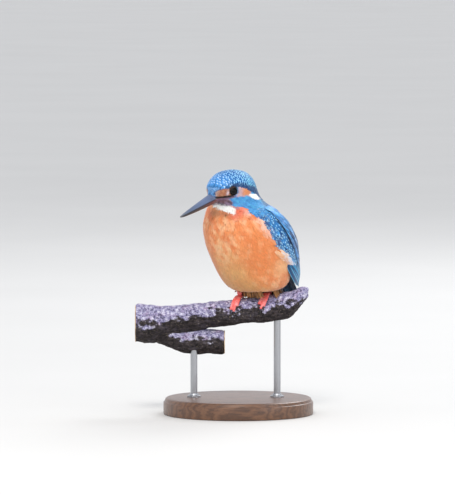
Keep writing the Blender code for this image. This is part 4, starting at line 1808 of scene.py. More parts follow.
@dataclass
class Wing:
    """One folded wing: coverts with tip spots, scapulars, and the long flight feathers."""

    form: Form
    side: Side
    seed: int
    grid: tuple[int, int] = (15, 33)
    covert_rows: int = 31
    covert_step: float = 0.0245
    scapular_rows: int = 19
    scapular_step: float = 0.037
    quills: int = 22
    longest: Spot = (-31.0, 15.5, 6.5)
    lead_root: Spot = (3.0, 29.3, 31.0)
    lead_knee: Spot = (-9.4, 29.4, 11.9)
    # painted shade lines and painted highlight streaks of the scapulars, one share a column
    dark: tuple[float, ...] = (0.1, 0.9, 0.75, 0, 0, 0.9, 0.7, 0, 0, 0.6, 0, 0)
    streak: tuple[float, ...] = (0, 0, 0, 0.95, 0.5, 0, 0, 0.95, 0.6, 0, 0.4, 0)
    points: Array = field(init=False)
    normals: Array = field(init=False)

    def __post_init__(self) -> None:
        """Samples the body's surface over the wing's chart, some way past its edges."""
        across = np.linspace(-0.25, 1.25, self.grid[0])
        along = np.linspace(0.0, 1.0, self.grid[1])
        self.points = np.zeros((*self.grid, 3))
        self.normals = np.zeros((*self.grid, 3))
        for i, a in enumerate(across):
            for j, b in enumerate(along):
                angle, height = WING.chart(np.array(a), np.array(b))
                turn = math.radians(angle)
                ray = np.array([math.cos(turn), math.sin(turn) * self.side.value, 0.0])
                start = np.array([WING.axis, 0.0, height]) + ray * 60
                hit = self.form.cast_wing(start, -ray)
                self.points[i, j] = hit[0] if hit else start - ray * 30
                self.normals[i, j] = hit[1] if hit else ray
        for _ in range(2):
            padded = np.pad(self.normals, ((1, 1), (1, 1), (0, 0)), "edge")
            self.normals = unit(padded[1:-1, 1:-1] * 2 + padded[:-2, 1:-1] + padded[2:, 1:-1]
                                + padded[1:-1, :-2] + padded[1:-1, 2:])

    def at(self, across: Array, along: Array) -> tuple[Array, Array]:
        """Surface places and normals for places of the chart, going straight on past its far end.

        Args:
            across: Shares across the chart.
            along: Shares along it, which may pass 1.

        Returns:
            The places and the normals.
        """
        x = np.clip((across + 0.25) / 1.5, 0, 1) * (self.grid[0] - 1)
        y = np.clip(along, 0, 1) * (self.grid[1] - 1)
        i = np.clip(x.astype(int), 0, self.grid[0] - 2)
        j = np.clip(y.astype(int), 0, self.grid[1] - 2)
        fx, fy = (x - i)[..., None], (y - j)[..., None]
        found = []
        for field_values in (self.points, self.normals):
            low = field_values[i, j] * (1 - fx) + field_values[i + 1, j] * fx
            high = field_values[i, j + 1] * (1 - fx) + field_values[i + 1, j + 1] * fx
            found.append(low * (1 - fy) + high * fy)
        inward = unit(TAIL.way() + np.array([0.0, -0.2 * self.side.value, 0.0]))
        beyond = np.maximum(along - 1, 0)[..., None] * 52 * inward
        return found[0] + beyond, unit(found[1])

    def lay(self, vane: Vane, start: Array, end: Array, half: Array, heights: tuple[float, float],
            colour: Array, strength: Array, mark: Array, bow: float = 0.0) -> Laid:
        """Lays feathers from chart places to chart places.

        Args:
            vane: The kind of feather.
            start: Across and along of each root.
            end: Across and along of each tip.
            half: Half widths in millimetres.
            heights: How high the root and the tip lie over the surface.
            colour: Each feather's colour.
            strength: How strong each feather's spot is.
            mark: The spots' colour.
            bow: Sideways bow of the spine in chart units.

        Returns:
            The laid feathers.
        """
        share = vane.shares()
        route = start[:, None] + (end - start)[:, None] * share
        route[..., 0] += (bow * 4 * share * (1 - share))[..., 0]
        places, normals = self.at(route[..., 0], route[..., 1])
        height = heights[0] + (heights[1] - heights[0]) * share ** 0.8
        places = places + normals * height
        down = colour * 0.35 + swatch(40, 40, 48) * 0.3
        return Laid.of(vane, places, normals, half, colour, down, mark, strength)

    def coverts(self) -> Laid:
        """Uneven rows of spotted coverts, small at the front edge and larger toward the flight feathers.

        Returns:
            The laid feathers.
        """
        rng = np.random.default_rng(self.seed)
        batches = []
        for row in range(self.covert_rows):
            along = -0.05 + row * self.covert_step
            share = row / 33
            columns = 13 if share < 0.8 else 10
            across = (np.arange(columns) + (row % 2) * 0.5) * 0.058 - 0.03 + rng.normal(0, 0.016, columns)
            start = np.stack([across, along + rng.normal(0, 0.006, columns)], 1)
            step = (0.07 + 0.07 * share + np.clip(across, 0, 1) * 0.05) * rng.uniform(0.85, 1.15, columns)
            aside = 0.02 + 0.05 * np.clip(across, 0, 1) + rng.normal(0, 0.01, columns)
            end = start + np.stack([aside, step], 1)
            half = 0.85 + 0.55 * share + np.clip(across, 0, 1) * 0.9
            colour = mixed(swatch(146, 156, 184), swatch(56, 124, 192),
                           soft(across + rng.normal(0, 0.04, columns), -0.02, 0.17))
            colour = mixed(colour, swatch(52, 156, 226), rng.uniform(0, 0.7, columns))
            colour = mixed(colour, swatch(20, 58, 118), rng.uniform(-0.4, 0.85, columns).clip(0, 1))
            # painted shadow: a dark navy line where the coverts meet the scapulars
            gap = soft(across, 0.30, 0.36) * (1 - soft(across, 0.5, 0.56)) * soft(along, 0.06, 0.14)
            gap = gap * (1 - 0.7 * soft(along, 0.5, 0.7))
            colour = mixed(colour, swatch(16, 34, 66), gap * 0.92)
            colour *= 1 + rng.normal(0, 0.07, (columns, 1))
            strength = rng.uniform(0.4, 1.0, columns) * (rng.random(columns) < 0.92) * (1 - gap)
            batches.append(self.lay(COVERT_VANE, start, end, half * rng.uniform(0.88, 1.12, columns),
                                    (-0.8, 0.1 + 0.22 * share), colour, strength, swatch(176, 230, 250)))
        return Laid.joined(batches)

    def scapulars(self) -> Laid:
        """Long bright feathers of the shoulder, lying over the wing's hind part, with painted shade between
        them and painted highlight streaks.

        Returns:
            The laid feathers.
        """
        rng = np.random.default_rng(self.seed + 5)
        batches = []
        columns = len(self.dark)
        for row in range(self.scapular_rows):
            along = -0.06 + row * self.scapular_step
            across = 0.47 + (np.arange(columns) + (row % 2) * 0.5) * 0.056 + rng.normal(0, 0.013, columns)
            start = np.stack([across - 0.02, along + rng.normal(0, 0.008, columns)], 1)
            end = start + np.stack([rng.normal(0.0, 0.012, columns), rng.uniform(0.15, 0.23, columns)], 1)
            colour = mixed(MARKINGS.azure, MARKINGS.cobalt, rng.uniform(0, 0.75, columns))
            colour = mixed(colour, swatch(84, 180, 250), rng.uniform(-0.3, 0.9, columns).clip(0, 1))
            # painted shade: dark navy columns stand for the gaps between scapulars; painted highlight:
            # lilac-white streak columns
            lower = soft(along, 0.1, 0.26)
            dark = np.array(self.dark) * lower
            colour = mixed(colour, swatch(14, 40, 88), dark)
            streak = np.array(self.streak) * lower * rng.uniform(0.55, 1, columns)
            colour = mixed(colour, swatch(176, 210, 254), streak)
            colour *= 1 + rng.normal(0, 0.11, (columns, 1))
            strength = rng.uniform(-0.6, 0.8, columns).clip(0, 1) * (1 - dark)
            batches.append(self.lay(COVERT_VANE, start, end, rng.uniform(1.05, 1.5, columns), (0.0, 1.05),
                                    colour, strength, swatch(204, 214, 246)))
        return Laid.joined(batches)

    def flight(self) -> Laid:
        """Primaries and secondaries, closed like a fan, the longest ones pointing at the tail's root.

        Returns:
            The laid feathers.
        """
        rng = np.random.default_rng(self.seed + 9)
        count = self.quills
        share = np.linspace(0, 1, count)
        sided = (1, self.side.value, 1)
        root, out = self.at(0.02 + 0.64 * share, 0.52 + 0.04 * share)
        root = root + (np.array(self.lead_root) * sided - root[0]) * ((1 - share) ** 3)[:, None]
        knee, knee_out = self.at(-0.13 + 0.93 * share ** 0.8, 0.87 - 0.07 * share)
        knee = knee + (np.array(self.lead_knee) * sided - knee[0]) * ((1 - share) ** 2)[:, None]
        innermost, _ = self.at(np.array([0.93]), np.array([0.8]))
        longest = np.array(self.longest) * sided
        tip = longest + (innermost - longest) * (share ** 0.85)[:, None]
        tip += knee_out * (np.sin(share * math.pi) * 1.2)[:, None]
        along = LONG_VANE.shares()
        spine = curve(root, knee + knee_out * 0.6, tip, along)
        normals = unit(out[:, None] * (1 - along) + knee_out[:, None] * along)
        spine += normals * ((share * 1.1 - 0.7)[:, None, None] + 0.5 * along)
        other = np.arange(count) % 2.0
        colour = mixed(swatch(16, 62, 112), swatch(44, 158, 214), 0.1 + 0.8 * other)
        colour *= 1 + rng.normal(0, 0.1, (count, 1))
        edge = mixed(swatch(120, 208, 238), swatch(10, 30, 62), other)
        return Laid.of(LONG_VANE, spine, normals, np.linspace(1.7, 2.7, count), colour, 0.6, edge)

    def tuft(self, count: int = 420) -> Laid:
        """Pale soft flank feathers that curl up over the wing's lower edge.

        Args:
            count: How many feathers.

        Returns:
            The laid feathers.
        """
        rng = np.random.default_rng(self.seed + 13)
        along = rng.uniform(0.5, 0.84, count)
        across = rng.uniform(-0.19, -0.01 + 0.08 * soft(along, 0.58, 0.76), count)
        across += 0.19 * soft(along, 0.64, 0.84)
        start = np.stack([across, along], 1)
        end = start + np.stack([rng.normal(0.045, 0.05, count), rng.uniform(0.07, 0.13, count)], 1)
        fade = soft(along + across * 0.8 + rng.normal(0, 0.04, count), 0.4, 0.62)
        low = soft(-across + rng.normal(0, 0.03, count), 0.06, 0.17)
        colour = mixed(swatch(250, 208, 168), swatch(218, 224, 240), fade)
        colour = mixed(colour, swatch(240, 160, 104), low * 0.75)
        colour = np.clip(colour * (1 + rng.normal(0, 0.05, (count, 1))), 0, PALEST)
        laid = self.lay(BODY_VANE, start, end, rng.uniform(0.4, 0.7, count), (-0.8, 0.7), colour,
                        np.zeros(count), MARKINGS.sky)
        laid.down = colour * 0.8
        laid.kind[:] = Kind.RUFOUS.value
        return laid


@dataclass
class Tail:
    """Twelve tail feathers, the middle pair on top."""

    count: int = 12
    spread: float = 6.4
    half: float = 3.0
    from_share: float = 0.36
    covert_rows: int = 10
    covert_columns: int = 17
    seed: int = 71

    def lay(self) -> Laid:
        """Lays the feathers along the tail's line.

        Returns:
            The laid feathers.
        """
        rng = np.random.default_rng(self.seed)
        place = np.linspace(-1, 1, self.count)
        rank = np.abs(place)
        share = np.array(LONG_VANE.rows)
        reach = self.from_share + (0.992 - rank * 0.035 - self.from_share)[:, None] * share[None]
        aside = place[:, None] * (self.spread * (0.72 + 0.28 * share))[None]
        spine = TAIL.at(reach[..., None]) + aside[..., None] * SIDEWAYS
        stack = (0.55 - rank * 1.35)[:, None] + 0.25 * np.sin(share * math.pi)[None]
        spine = spine + stack[..., None] * TAIL.top()
        normals = np.tile(TAIL.top(), (self.count, len(share), 1))
        normals = normals + (place * 0.22)[:, None, None] * SIDEWAYS
        colour = mixed(swatch(30, 66, 126), swatch(44, 110, 164), 1 - rank)
        colour *= 1 + rng.normal(0, 0.08, (self.count, 1))
        return Laid.of(LONG_VANE, spine, unit(normals), np.full(self.count, self.half), colour, 0.5,
                       swatch(74, 140, 186))

    def over(self, share: Array, turn: Array) -> tuple[Array, Array]:
        """Places over the tail and the directions out of it, at a share along and a turn from its top.

        Args:
            share: Shares along the tail.
            turn: Turns from its top.

        Returns:
            The places and the directions.
        """
        shares = (0, 0.2, 0.42, 0.6, 0.8, 1)
        thick = np.interp(share, shares, (7.0, 6.6, 4.8, 3.1, 1.9, 1.2)) + 0.35
        wide = np.interp(share, shares, (8.0, 10.0, 10.4, 9.6, 9.0, 8.6)) + 0.2
        place = (TAIL.at(share[..., None]) + (thick * np.cos(turn))[..., None] * TAIL.top()
                 + (wide * np.sin(turn))[..., None] * SIDEWAYS)
        out = np.cos(turn)[..., None] * TAIL.top() + (np.sin(turn) * 0.7)[..., None] * SIDEWAYS
        return place, unit(out)

    def coverts(self) -> Laid:
        """The long bright coverts over the tail's root, in uneven rows from the rump.

        Returns:
            The laid feathers.
        """
        rng = np.random.default_rng(self.seed + 3)
        rows, columns = self.covert_rows, self.covert_columns
        reach = np.repeat(np.linspace(0.1, 0.52, rows), columns) + rng.normal(0, 0.012, rows * columns)
        turn = np.tile(np.linspace(-1.75, 1.75, columns), rows) + rng.normal(0, 0.05, rows * columns)
        turn += np.repeat(np.arange(rows) % 2 - 0.5, columns) * 0.11
        count = rows * columns
        long = rng.uniform(0.2, 0.28, count)
        share = np.array(COVERT_VANE.rows)
        places, normals = self.over(reach[:, None] + long[:, None] * share,
                                    turn[:, None] * (1 - 0.12 * share))
        sink = (0.9 * (1 - share) ** 2 - 0.25 * share)[None, :, None]
        spine = places - normals * sink
        colour = mixed(swatch(52, 132, 196), MARKINGS.azure, rng.uniform(0, 0.8, count))
        colour = mixed(colour, MARKINGS.teal, soft(np.abs(turn), 0.6, 1.4) * rng.uniform(0.3, 0.9, count))
        colour *= 1 + rng.normal(0, 0.08, (count, 1))
        return Laid.of(COVERT_VANE, spine, normals, rng.uniform(1.2, 1.6, count), colour, 0.5,
                       swatch(122, 190, 226))


# ---- the bird


@dataclass
class Bird:
    """The whole bird: skin, coat, wings, tail, bill, eyes and feet."""

    nodes: Nodes
    seed: int = 4
    waist: float = 34.0

    def build(self) -> None:
        """Builds every part in order."""
        form = Form(self.nodes)
        self.skin(form)
        self.coat(form)
        for side in Side:
            self.wing(form, side)
        self.tail()
        Bill(self.nodes).build()
        for side in Side:
            Eye(side, form).build()
            Foot(self.nodes, side).build()
        form.mesh.free()

    def skin(self, form: Form) -> None:
        """One skin under the feathers, in place of the flesh solids.

        Args:
            form: The bird's outer surface.
        """
        depth = form.depth(skin_depth(form.places))
        bm = form.mesh.copy()
        set_places(bm, AXES.to_world(form.places - form.normals * depth[:, None]))
        look = MARKINGS.look(form.places)
        tint = np.concatenate([look.colour, np.ones((len(look.colour), 1))], 1)
        piece("skin", smoothed(bm, 4), Hide().material(), "skin", ("head", "neck", "trunk"), Tint=tint)

    def enter(self, name: str, laid: Laid, material: Material, slot: str, pivot: Array,
              stands_for: Sequence[str] = ()) -> None:
        """Makes a batch of feathers a piece; pivot is a place inside the body to unwrap it about."""
        entered(name, laid.mesh(name, self.seed + len(name), pivot), material, slot, stands_for)

    def coat(self, form: Form) -> None:
        """The scattered body feathers and the rows of the cap, split by colour and by place.

        Args:
            form: The bird's outer surface.
        """
        coat = Coat(form)
        small, large = coat.body(self.seed)
        crisp = Plumage("feather_blue", contrast=0.2, roughness=0.48, sheen=0.04)
        plain = Plumage("feather_soft", contrast=0.1, slant=0.9, shaft=0.12, sheen=0.35)
        snowy = Plumage("feather_white", contrast=0.07, slant=0.9, shaft=0.08, sheen=0.3)
        barred = Plumage("feather_cap", mark_size=(0.52, 0.11), mark_at=(0.5, 0.87), bend=0.16,
                         contrast=0.14, roughness=0.45, sheen=0.04, shaft=0.1)
        chest = np.array([4.0, 0.0, 34.0])
        skull = AXES.from_head((0.0, 0.0, -4.0))
        for kind, finish in ((Kind.RUFOUS, plain), (Kind.BLUE, crisp), (Kind.WHITE, snowy)):
            material = finish.material()
            for side in Side:
                for size, laid, pivot in (("face", small, skull), ("body", large, chest)):
                    mask = (laid.kind == kind.value) & laid.on(side)
                    zones = {"": mask}
                    if size == "body" and kind is Kind.RUFOUS:
                        upper = laid.spine[:, 0, 2] > self.waist
                        zones = {"_upper": mask & upper, "_lower": mask & ~upper}
                    for zone, part in zones.items():
                        if part.any():
                            self.enter(f"{size}_{kind.name.lower()}{zone}_{side.word}", laid.picked(part),
                                       material, f"feathers_{kind.name.lower()}", pivot)
        self.enter("cap", coat.cap(self.seed + 20), barred.material(), "feathers_blue", skull)
        hung = coat.hanging(self.seed + 23)
        for side in Side:
            loose = Plumage(f"feather_hanging_{side.word}", contrast=0.1, slant=0.9, shaft=0.1, sheen=0.3)
            self.enter(f"hanging_{side.word}", hung.picked(hung.on(side)), loose.material(),
                       "feathers_rufous", chest)

    def wing(self, form: Form, side: Side) -> None:
        """One wing's feathers, the coverts standing for the wing's solid.

        Args:
            form: The bird's outer surface.
            side: Which wing.
        """
        wing = Wing(form, side, self.seed + 30 + side.value)
        word = side.word
        pivot = np.array([WING.axis, 0.0, 38.0])
        spotted = Plumage(f"feather_spotted_{word}", mark_at=(0.5, 0.86), mark_size=(0.2, 0.085), bend=0.05,
                          roughness=0.42, contrast=0.22, sheen=0.03)
        # painted highlight: the scapulars' long pale streak and lilac-white fringe
        streaked = Plumage(f"feather_streaked_{word}", mark_at=(0.5, 0.74), mark_size=(0.12, 0.26), bend=0.0,
                           roughness=0.42, contrast=0.25, sheen=0.03, fringe=0.22)
        quill = Plumage(f"feather_quill_{word}", barbs=46.0, contrast=0.2, roughness=0.45, shaft=0.8,
                        sheen=0.08, fringe=0.7)
        down = Plumage(f"feather_flank_{word}", contrast=0.08, slant=0.9, shaft=0.08, sheen=0.35)
        self.enter(f"wing_coverts_{word}", wing.coverts(), spotted.material(), "feathers_blue", pivot,
                   (f"wing_{word}",))
        self.enter(f"wing_scapulars_{word}", wing.scapulars(), streaked.material(), "feathers_blue", pivot)
        self.enter(f"wing_flight_{word}", wing.flight(), quill.material(), "feathers_blue", pivot)
        self.enter(f"flank_tuft_{word}", wing.tuft(), down.material(), "feathers_rufous", pivot)

    def tail(self) -> None:
        """The tail feathers, in place of the tail's solid."""
        quill = Plumage("feather_tail", barbs=52.0, contrast=0.2, roughness=0.45, shaft=0.85, sheen=0.08,
                        fringe=0.5)
        loose = Plumage("feather_rump", contrast=0.22, roughness=0.45, sheen=0.12, fringe=0.7)
        pivot = TAIL.at(0.3) - TAIL.top() * 30
        tail = Tail()
        self.enter("tail_feathers", tail.lay(), quill.material(), "feathers_blue", pivot, ("tail",))
        self.enter("tail_coverts", tail.coverts(), loose.material(), "feathers_blue", pivot)


@dataclass
class Bill:
    """The dagger bill: two halves that meet along the cutting edge, with nostrils in the upper."""

    nodes: Nodes
    stations: tuple[tuple[float, float, float, float], ...] = (
        (-2.0, 4.3, 4.1, 3.6), (0, 4.4, 4.2, 3.7), (5, 4.1, 3.9, 3.5), (12, 3.3, 3.3, 3.2),
        (20, 2.6, 2.6, 2.8), (28, 1.8, 1.8, 2.1), (34, 1.15, 1.05, 1.4), (37.0, 0.65, 0.55, 0.8),
        (38.0, 0.22, 0.18, 0.3))
    steps: int = 72
    sides: int = 40
    seam: float = 0.08
    lengths: tuple[float, float] = (38.0, 37.5)
    nostril: tuple[float, float] = (6.2, 1.5)

    def ring_at(self, along: float, upper: bool) -> Array:
        """One closed section in the bill's own axes: along, left, up.

        Args:
            along: The section's place along the bill.
            upper: Which half.

        Returns:
            The section's corners in order.
        """
        table = np.array(self.stations)
        width, top, keel = (np.interp(along, table[:, 0], table[:, i]) for i in (1, 2, 3))
        half = self.sides // 2
        places = []
        for k in range(half + 1):
            turn = math.pi * k / half
            rise = math.sin(turn)
            tall = (top if upper else keel) * rise ** 0.88
            ridge = 1 - 0.14 * math.exp(-((turn - math.pi / 2) / 0.5) ** 2) * (0 if upper else 1)
            places.append((along, width * math.cos(turn) * (1 - 0.05 * rise), tall * ridge))
        for k in range(1, half):
            share = 1 - 2 * k / half
            places.append((along, -width * share, 0.05 * width * (1 - share * share)))
        sign = 1 if upper else -1
        return np.array([(x, y, (z + self.seam) * sign) for x, y, z in places])

    def half(self, upper: bool) -> tuple[Mesh, Array]:
        """One half of the bill in the world, and its corners' places along and across it as shares.

        Args:
            upper: Which half.

        Returns:
            The half, and its corners' shares.
        """
        first, end = self.stations[0][0], self.lengths[0 if upper else 1]
        stations = first + (end - first) * np.linspace(0, 1, self.steps) ** 0.92
        bm = lofted([self.ring_at(float(s), upper) for s in stations])
        way = np.array([v.co for v in bm.verts])
        for _ in range(2):
            bmesh.ops.smooth_vert(bm, verts=[v for v in bm.verts if v.co.x < 36], factor=0.4,
                                  use_axis_x=False, use_axis_y=True, use_axis_z=True)
        places = np.array([v.co for v in bm.verts])
        if upper:
            x, z = self.nostril
            along, tall = places[:, 0] - x, places[:, 2] - z
            spread = ((along - tall * 0.8) / 1.7) ** 2 + (tall / 0.42) ** 2
            sunk = np.exp(-spread ** 2) * (np.abs(places[:, 1]) > 1.0)
            places[:, 1] -= np.sign(places[:, 1]) * sunk * 0.75
            groove = np.exp(-((places[:, 2] - places[:, 0] * -0.03 - 1.35) / 0.35) ** 2)
            groove *= soft(-places[:, 0], -18, -9) * (np.abs(places[:, 1]) > 1.0)
            places[:, 1] -= np.sign(places[:, 1]) * groove * 0.16
        sine, cosine = math.sin(BILL_PITCH), math.cos(BILL_PITCH)
        turn = np.array([[cosine, 0, sine], [0, 1, 0], [-sine, 0, cosine]])
        set_places(bm, AXES.to_world(AXES.from_head(places @ turn + BILL_START)))
        return bm, way / (38.5, 4.4, 4.4)

    def build(self) -> None:
        """Builds both halves."""
        horn = Horn("bill_slate", ((0.0, (74, 88, 120)), (0.35, (88, 104, 138)), (0.75, (78, 92, 118)),
                                   (0.95, (104, 110, 120)), (1.0, (186, 188, 190))), lip=0.75)
        red = Horn("bill_dusky", ((0.0, (104, 50, 50)), (0.22, (92, 48, 48)), (0.45, (58, 46, 46)),
                                  (0.93, (50, 46, 48)), (1.0, (150, 150, 152))))
        for upper, finish, name, slot in ((True, horn, "bill_upper", "bill_horn"),
                                          (False, red, "bill_lower", "bill_red")):
            bm, way = self.half(upper)
            piece(f"{name}_horn", bm, finish.material(), slot, (name,), Way=way)


@dataclass
class Eye:
    """An eyeball with its ring of bare lid."""

    side: Side
    form: Form
    rings: int = 40
    sides: int = 64
    lid_sides: int = 12
    facing: Spot = (0.28, 0.955, 0.06)
    opening: float = 2.2
    lid_wide: float = 0.42
    lid_thick: float = 0.17
    slant: float = 0.2

    def frame(self) -> tuple[Array, Array, Array, Array]:
        """The eye's centre, its outward axis and two directions across it, in the bird's axes.

        Returns:
            The four of them.
        """
        sided = (1, self.side.value, 1)
        centre = AXES.from_head(np.array(EYE_AT) * sided)
        axis = unit((np.array(self.facing) * sided) @ AXES.head_rows())
        first = unit(np.cross((0, 0, 1), axis))
        return centre, axis, first, np.cross(axis, first)

    def build(self) -> None:
        """Builds the ball and the lids."""
        centre, axis, first, second = self.frame()
        word = self.side.word
        turn = np.stack([first, second, axis])
        bm = bmesh.new()
        bmesh.ops.create_uvsphere(bm, u_segments=self.sides, v_segments=self.rings, radius=EYE_RADIUS)
        local = np.array([v.co for v in bm.verts])
        radius = np.hypot(local[:, 0], local[:, 1]) / self.opening
        swirl = np.arctan2(local[:, 1], local[:, 0])
        front = local[:, 2] > 0
        bulge = np.where(front, 0.15 * np.exp(-(radius / 0.75) ** 2), 0)
        shaped = local + np.stack([0 * bulge, 0 * bulge, bulge], 1)
        set_places(bm, AXES.to_world(shaped @ turn + centre))
        way = np.stack([np.where(front, radius, 2), np.cos(swirl), np.sin(swirl)], 1)
        piece(f"eyeball_{word}", bm, Iris().material(), "eye_dark", (f"eye_{word}",), Way=way)
        self.lids(centre, turn, word)

    def lids(self, centre: Array, turn: Array, word: str) -> None:
        """A ring of lid skin round the opening, almond-shaped, its back edge sunk in the skin.

        Args:
            centre: The eye's centre.
            turn: Its axes as rows.
            word: The side's name.
        """
        base = math.sqrt(EYE_RADIUS ** 2 - self.opening ** 2)
        rings = []
        for k in range(self.sides):
            angle = math.tau * k / self.sides
            squash = 0.86 + 0.2 * abs(math.cos(angle - self.side.value * self.slant)) ** 1.5
            section = []
            for j in range(self.lid_sides):
                phase = math.tau * j / self.lid_sides
                out = self.opening * squash + self.lid_wide * 0.5 * (1 + math.cos(phase)) - 0.06
                rise = base + self.lid_thick * math.sin(phase) - 0.55 * (out - self.opening) + 0.05
                section.append((out * math.cos(angle), out * math.sin(angle), rise))
            rings.append(np.array(section))
        bm = bmesh.new()
        edges = [ring(bm, places) for places in rings]
        for one, two in zip(edges, edges[1:] + edges[:1]):
            bmesh.ops.bridge_loops(bm, edges=one + two)
        bmesh.ops.recalc_face_normals(bm, faces=bm.faces)
        local = np.array([v.co for v in bm.verts])
        set_places(bm, AXES.to_world(local @ turn + centre))
        lid = Scales("eyelid_skin", (10, 9, 12), (4, 4, 5), (17, 15, 20), 3.0, 0.03, 0.72)
        piece(f"eyelid_{word}", bm, lid.material(), "eyelid", Way=np.ones((len(local), 3)))


@dataclass
class Foot:
    """A foot with its short leg, scaled toes and claws."""

    nodes: Nodes
    side: Side
    voxel: float = 0.3
    plate: float = 0.1
    plates: float = 11.0
    swell: float = 0.16
    leg_swell: float = 0.42
    branch_radius: float = 9.4
    claw_voxel: float = 0.16

    def build(self) -> None:
        """Builds the foot and its claws."""
        word = self.side.word
        bm = remeshed(joined([copy_of(self.nodes[f"foot_{word}"], self.swell),
                              copy_of(self.nodes[f"tarsus_{word}"], self.leg_swell)]), self.voxel, 4)
        places, normals = arrays_of(bm)
        grown = places - normals * 0.1 * MM
        local = AXES.to_bird(grown)
        _, y, z = AXES.origin
        turn = np.arctan2(grown[:, 1] - y * MM, grown[:, 2] - (z - self.branch_radius) * MM)
        leg = soft(local[:, 2], 1.8, 3.4)
        phase = np.where(leg > 0.5, local[:, 2] * 0.75, turn * self.plates)
        scute = soft(np.abs(np.sin(phase * math.pi)), 0.0, 0.55)
        outer = soft(normals[:, 2] - normals[:, 1] * 0.5, -0.2, 0.4)
        lift = (scute - 0.6) * self.plate * outer
        set_places(bm, grown + normals * lift[:, None] * MM)
        skin = Scales(f"foot_scales_{word}", (250, 112, 106), (186, 62, 64), (252, 168, 166), 1.6, 0.07)
        piece(f"foot_scaled_{word}", bm, skin.material(), "foot_skin", (f"foot_{word}", f"tarsus_{word}"),
              Way=np.stack([scute * outer + 1 - outer] * 3, 1))
        self.claws(word)

    def claws(self, word: str) -> None:
        """The claws, smoothed to points.

        Args:
            word: The side's name.
        """
        names = [f"claw_{toe}_{word}" for toe in ("inner", "middle", "outer", "hind")]
        bm = remeshed(joined([copy_of(self.nodes[name], 0.04) for name in names]), self.claw_voxel, 2)
        local = AXES.to_bird(np.array([v.co for v in bm.verts]))
        horn = Horn(f"claw_horn_{word}", ((0.0, (96, 52, 46)), (0.4, (58, 40, 38)), (1.0, (26, 22, 24))),
                    roughness=0.3)
        way = np.stack([soft(np.abs(local[:, 2] + 2), 0, 9), local[:, 0] / 4, local[:, 1] / 4], 1)
        piece(f"claws_{word}", bm, horn.material(), "claw_horn", names, Way=way)


# ---- perch, stand and studio


@dataclass
class Perch:
    """The cut length of branch: furrowed bark with lichen, and its sawn ends."""

    nodes: Nodes
    voxel: float = 0.62
    furrow: float = 0.7
    lump: float = 1.0
    limb_cut: tuple[float, float, float] = (2.0, 65.0, 13.2)
    stub_cut: tuple[float, float, float] = (4.5, 51.6, 8.4)
    stub_end: float = -10.0
    cut_thick: float = 0.5
    proud: float = 0.05

    def build(self) -> None:
        """Builds the bark and the ends."""
        bm = remeshed(copy_of(self.nodes["perch_branch"]), self.voxel, 3)
        places, normals = arrays_of(bm)
        mm = places / MM
        low = mm.min(0)
        fine = self.uneven(noise.fractal, mm, (0.12, 0.42, 0.42), 0, 1.0, 2.1, 5)
        ridge = self.uneven(noise.ridged_multi_fractal, mm, (0.05, 0.22, 0.22), 0, 1.0, 2.2, 4, 1.0, 2.0)
        lumps = self.uneven(noise.noise, mm, (0.07, 0.09, 0.09), 9)
        crust = self.uneven(noise.fractal, mm, (0.16, 0.2, 0.2), 4, 1.0, 2.0, 4)
        cut = soft(mm[:, 0] - low[0], 0.0, 1.6) * np.where(mm[:, 2] < 61, soft(-mm[:, 0], 10.2, 12.0), 1.0)
        feet = 1 - soft(np.abs(mm[:, 0] - AXES.origin[0]), 15, 24)
        top = soft(normals[:, 2], -0.1, 0.5)
        lift = (fine * self.furrow * 0.9 - (ridge - 1.1) * 0.32 + lumps * self.lump) * cut
        lift = np.where(lift > 0, lift * (1 - feet * top * 0.8), lift)
        tip = soft(mm[:, 0] - mm[:, 0].max(), -9.0, -3.0) * 0.7
        covered = np.clip(soft(normals[:, 2] + crust * 0.6 + 0.12 + tip, -0.15, 0.7), 0, 1)
        lift += covered * soft(crust, -0.1, 0.4) * 0.22 * cut
        set_places(bm, places + normals * (lift * MM)[:, None])
        piece("perch_bark", bm, Bark().material(), "bark", ("perch_branch",), Crust=covered)
        self.ends(low[0])

    @staticmethod
    def uneven(kind: Callable[..., float], mm: Array, stretch: Sequence[float], shift: float,
               *settings: float) -> Array:
        """A noise for each place in millimetres, by its scale on each axis and a shift along the first."""
        return np.array([kind(Vector(place), *settings) for place in mm * stretch + (shift, 0, 0)])

    def ends(self, left: float) -> None:
        """Thin sawn faces over the cut ends: the limb's at its left, the lower limb's at its right.

        Args:
            left: Where the limb's left end lies.
        """
        places = ((left - self.proud, *self.limb_cut), (self.stub_end + self.proud, *self.stub_cut))
        for number, (x, y, z, radius) in enumerate(places):
            bm = bmesh.new()
            bmesh.ops.create_cone(bm, cap_ends=True, segments=48, radius1=radius * MM, radius2=radius * MM,
                                  depth=self.cut_thick * MM)
            rim = [e for e in bm.edges if abs(e.verts[0].co.z - e.verts[1].co.z) < WELD]
            bmesh.ops.bevel(bm, geom=rim, offset=0.15 * MM, offset_type="OFFSET", segments=2, profile=0.5,
                            affect="EDGES", material=-1)
            turn = Matrix.Translation(Vector((x, y, z)) * MM) @ Matrix.Rotation(math.pi / 2, 4, "Y")
            bmesh.ops.transform(bm, matrix=turn, verts=bm.verts)
            piece(f"perch_cut_{number + 1}", bm, SawnWood(f"sawn_wood_{number + 1}", (y, z)).material(),
                  "cut_wood")


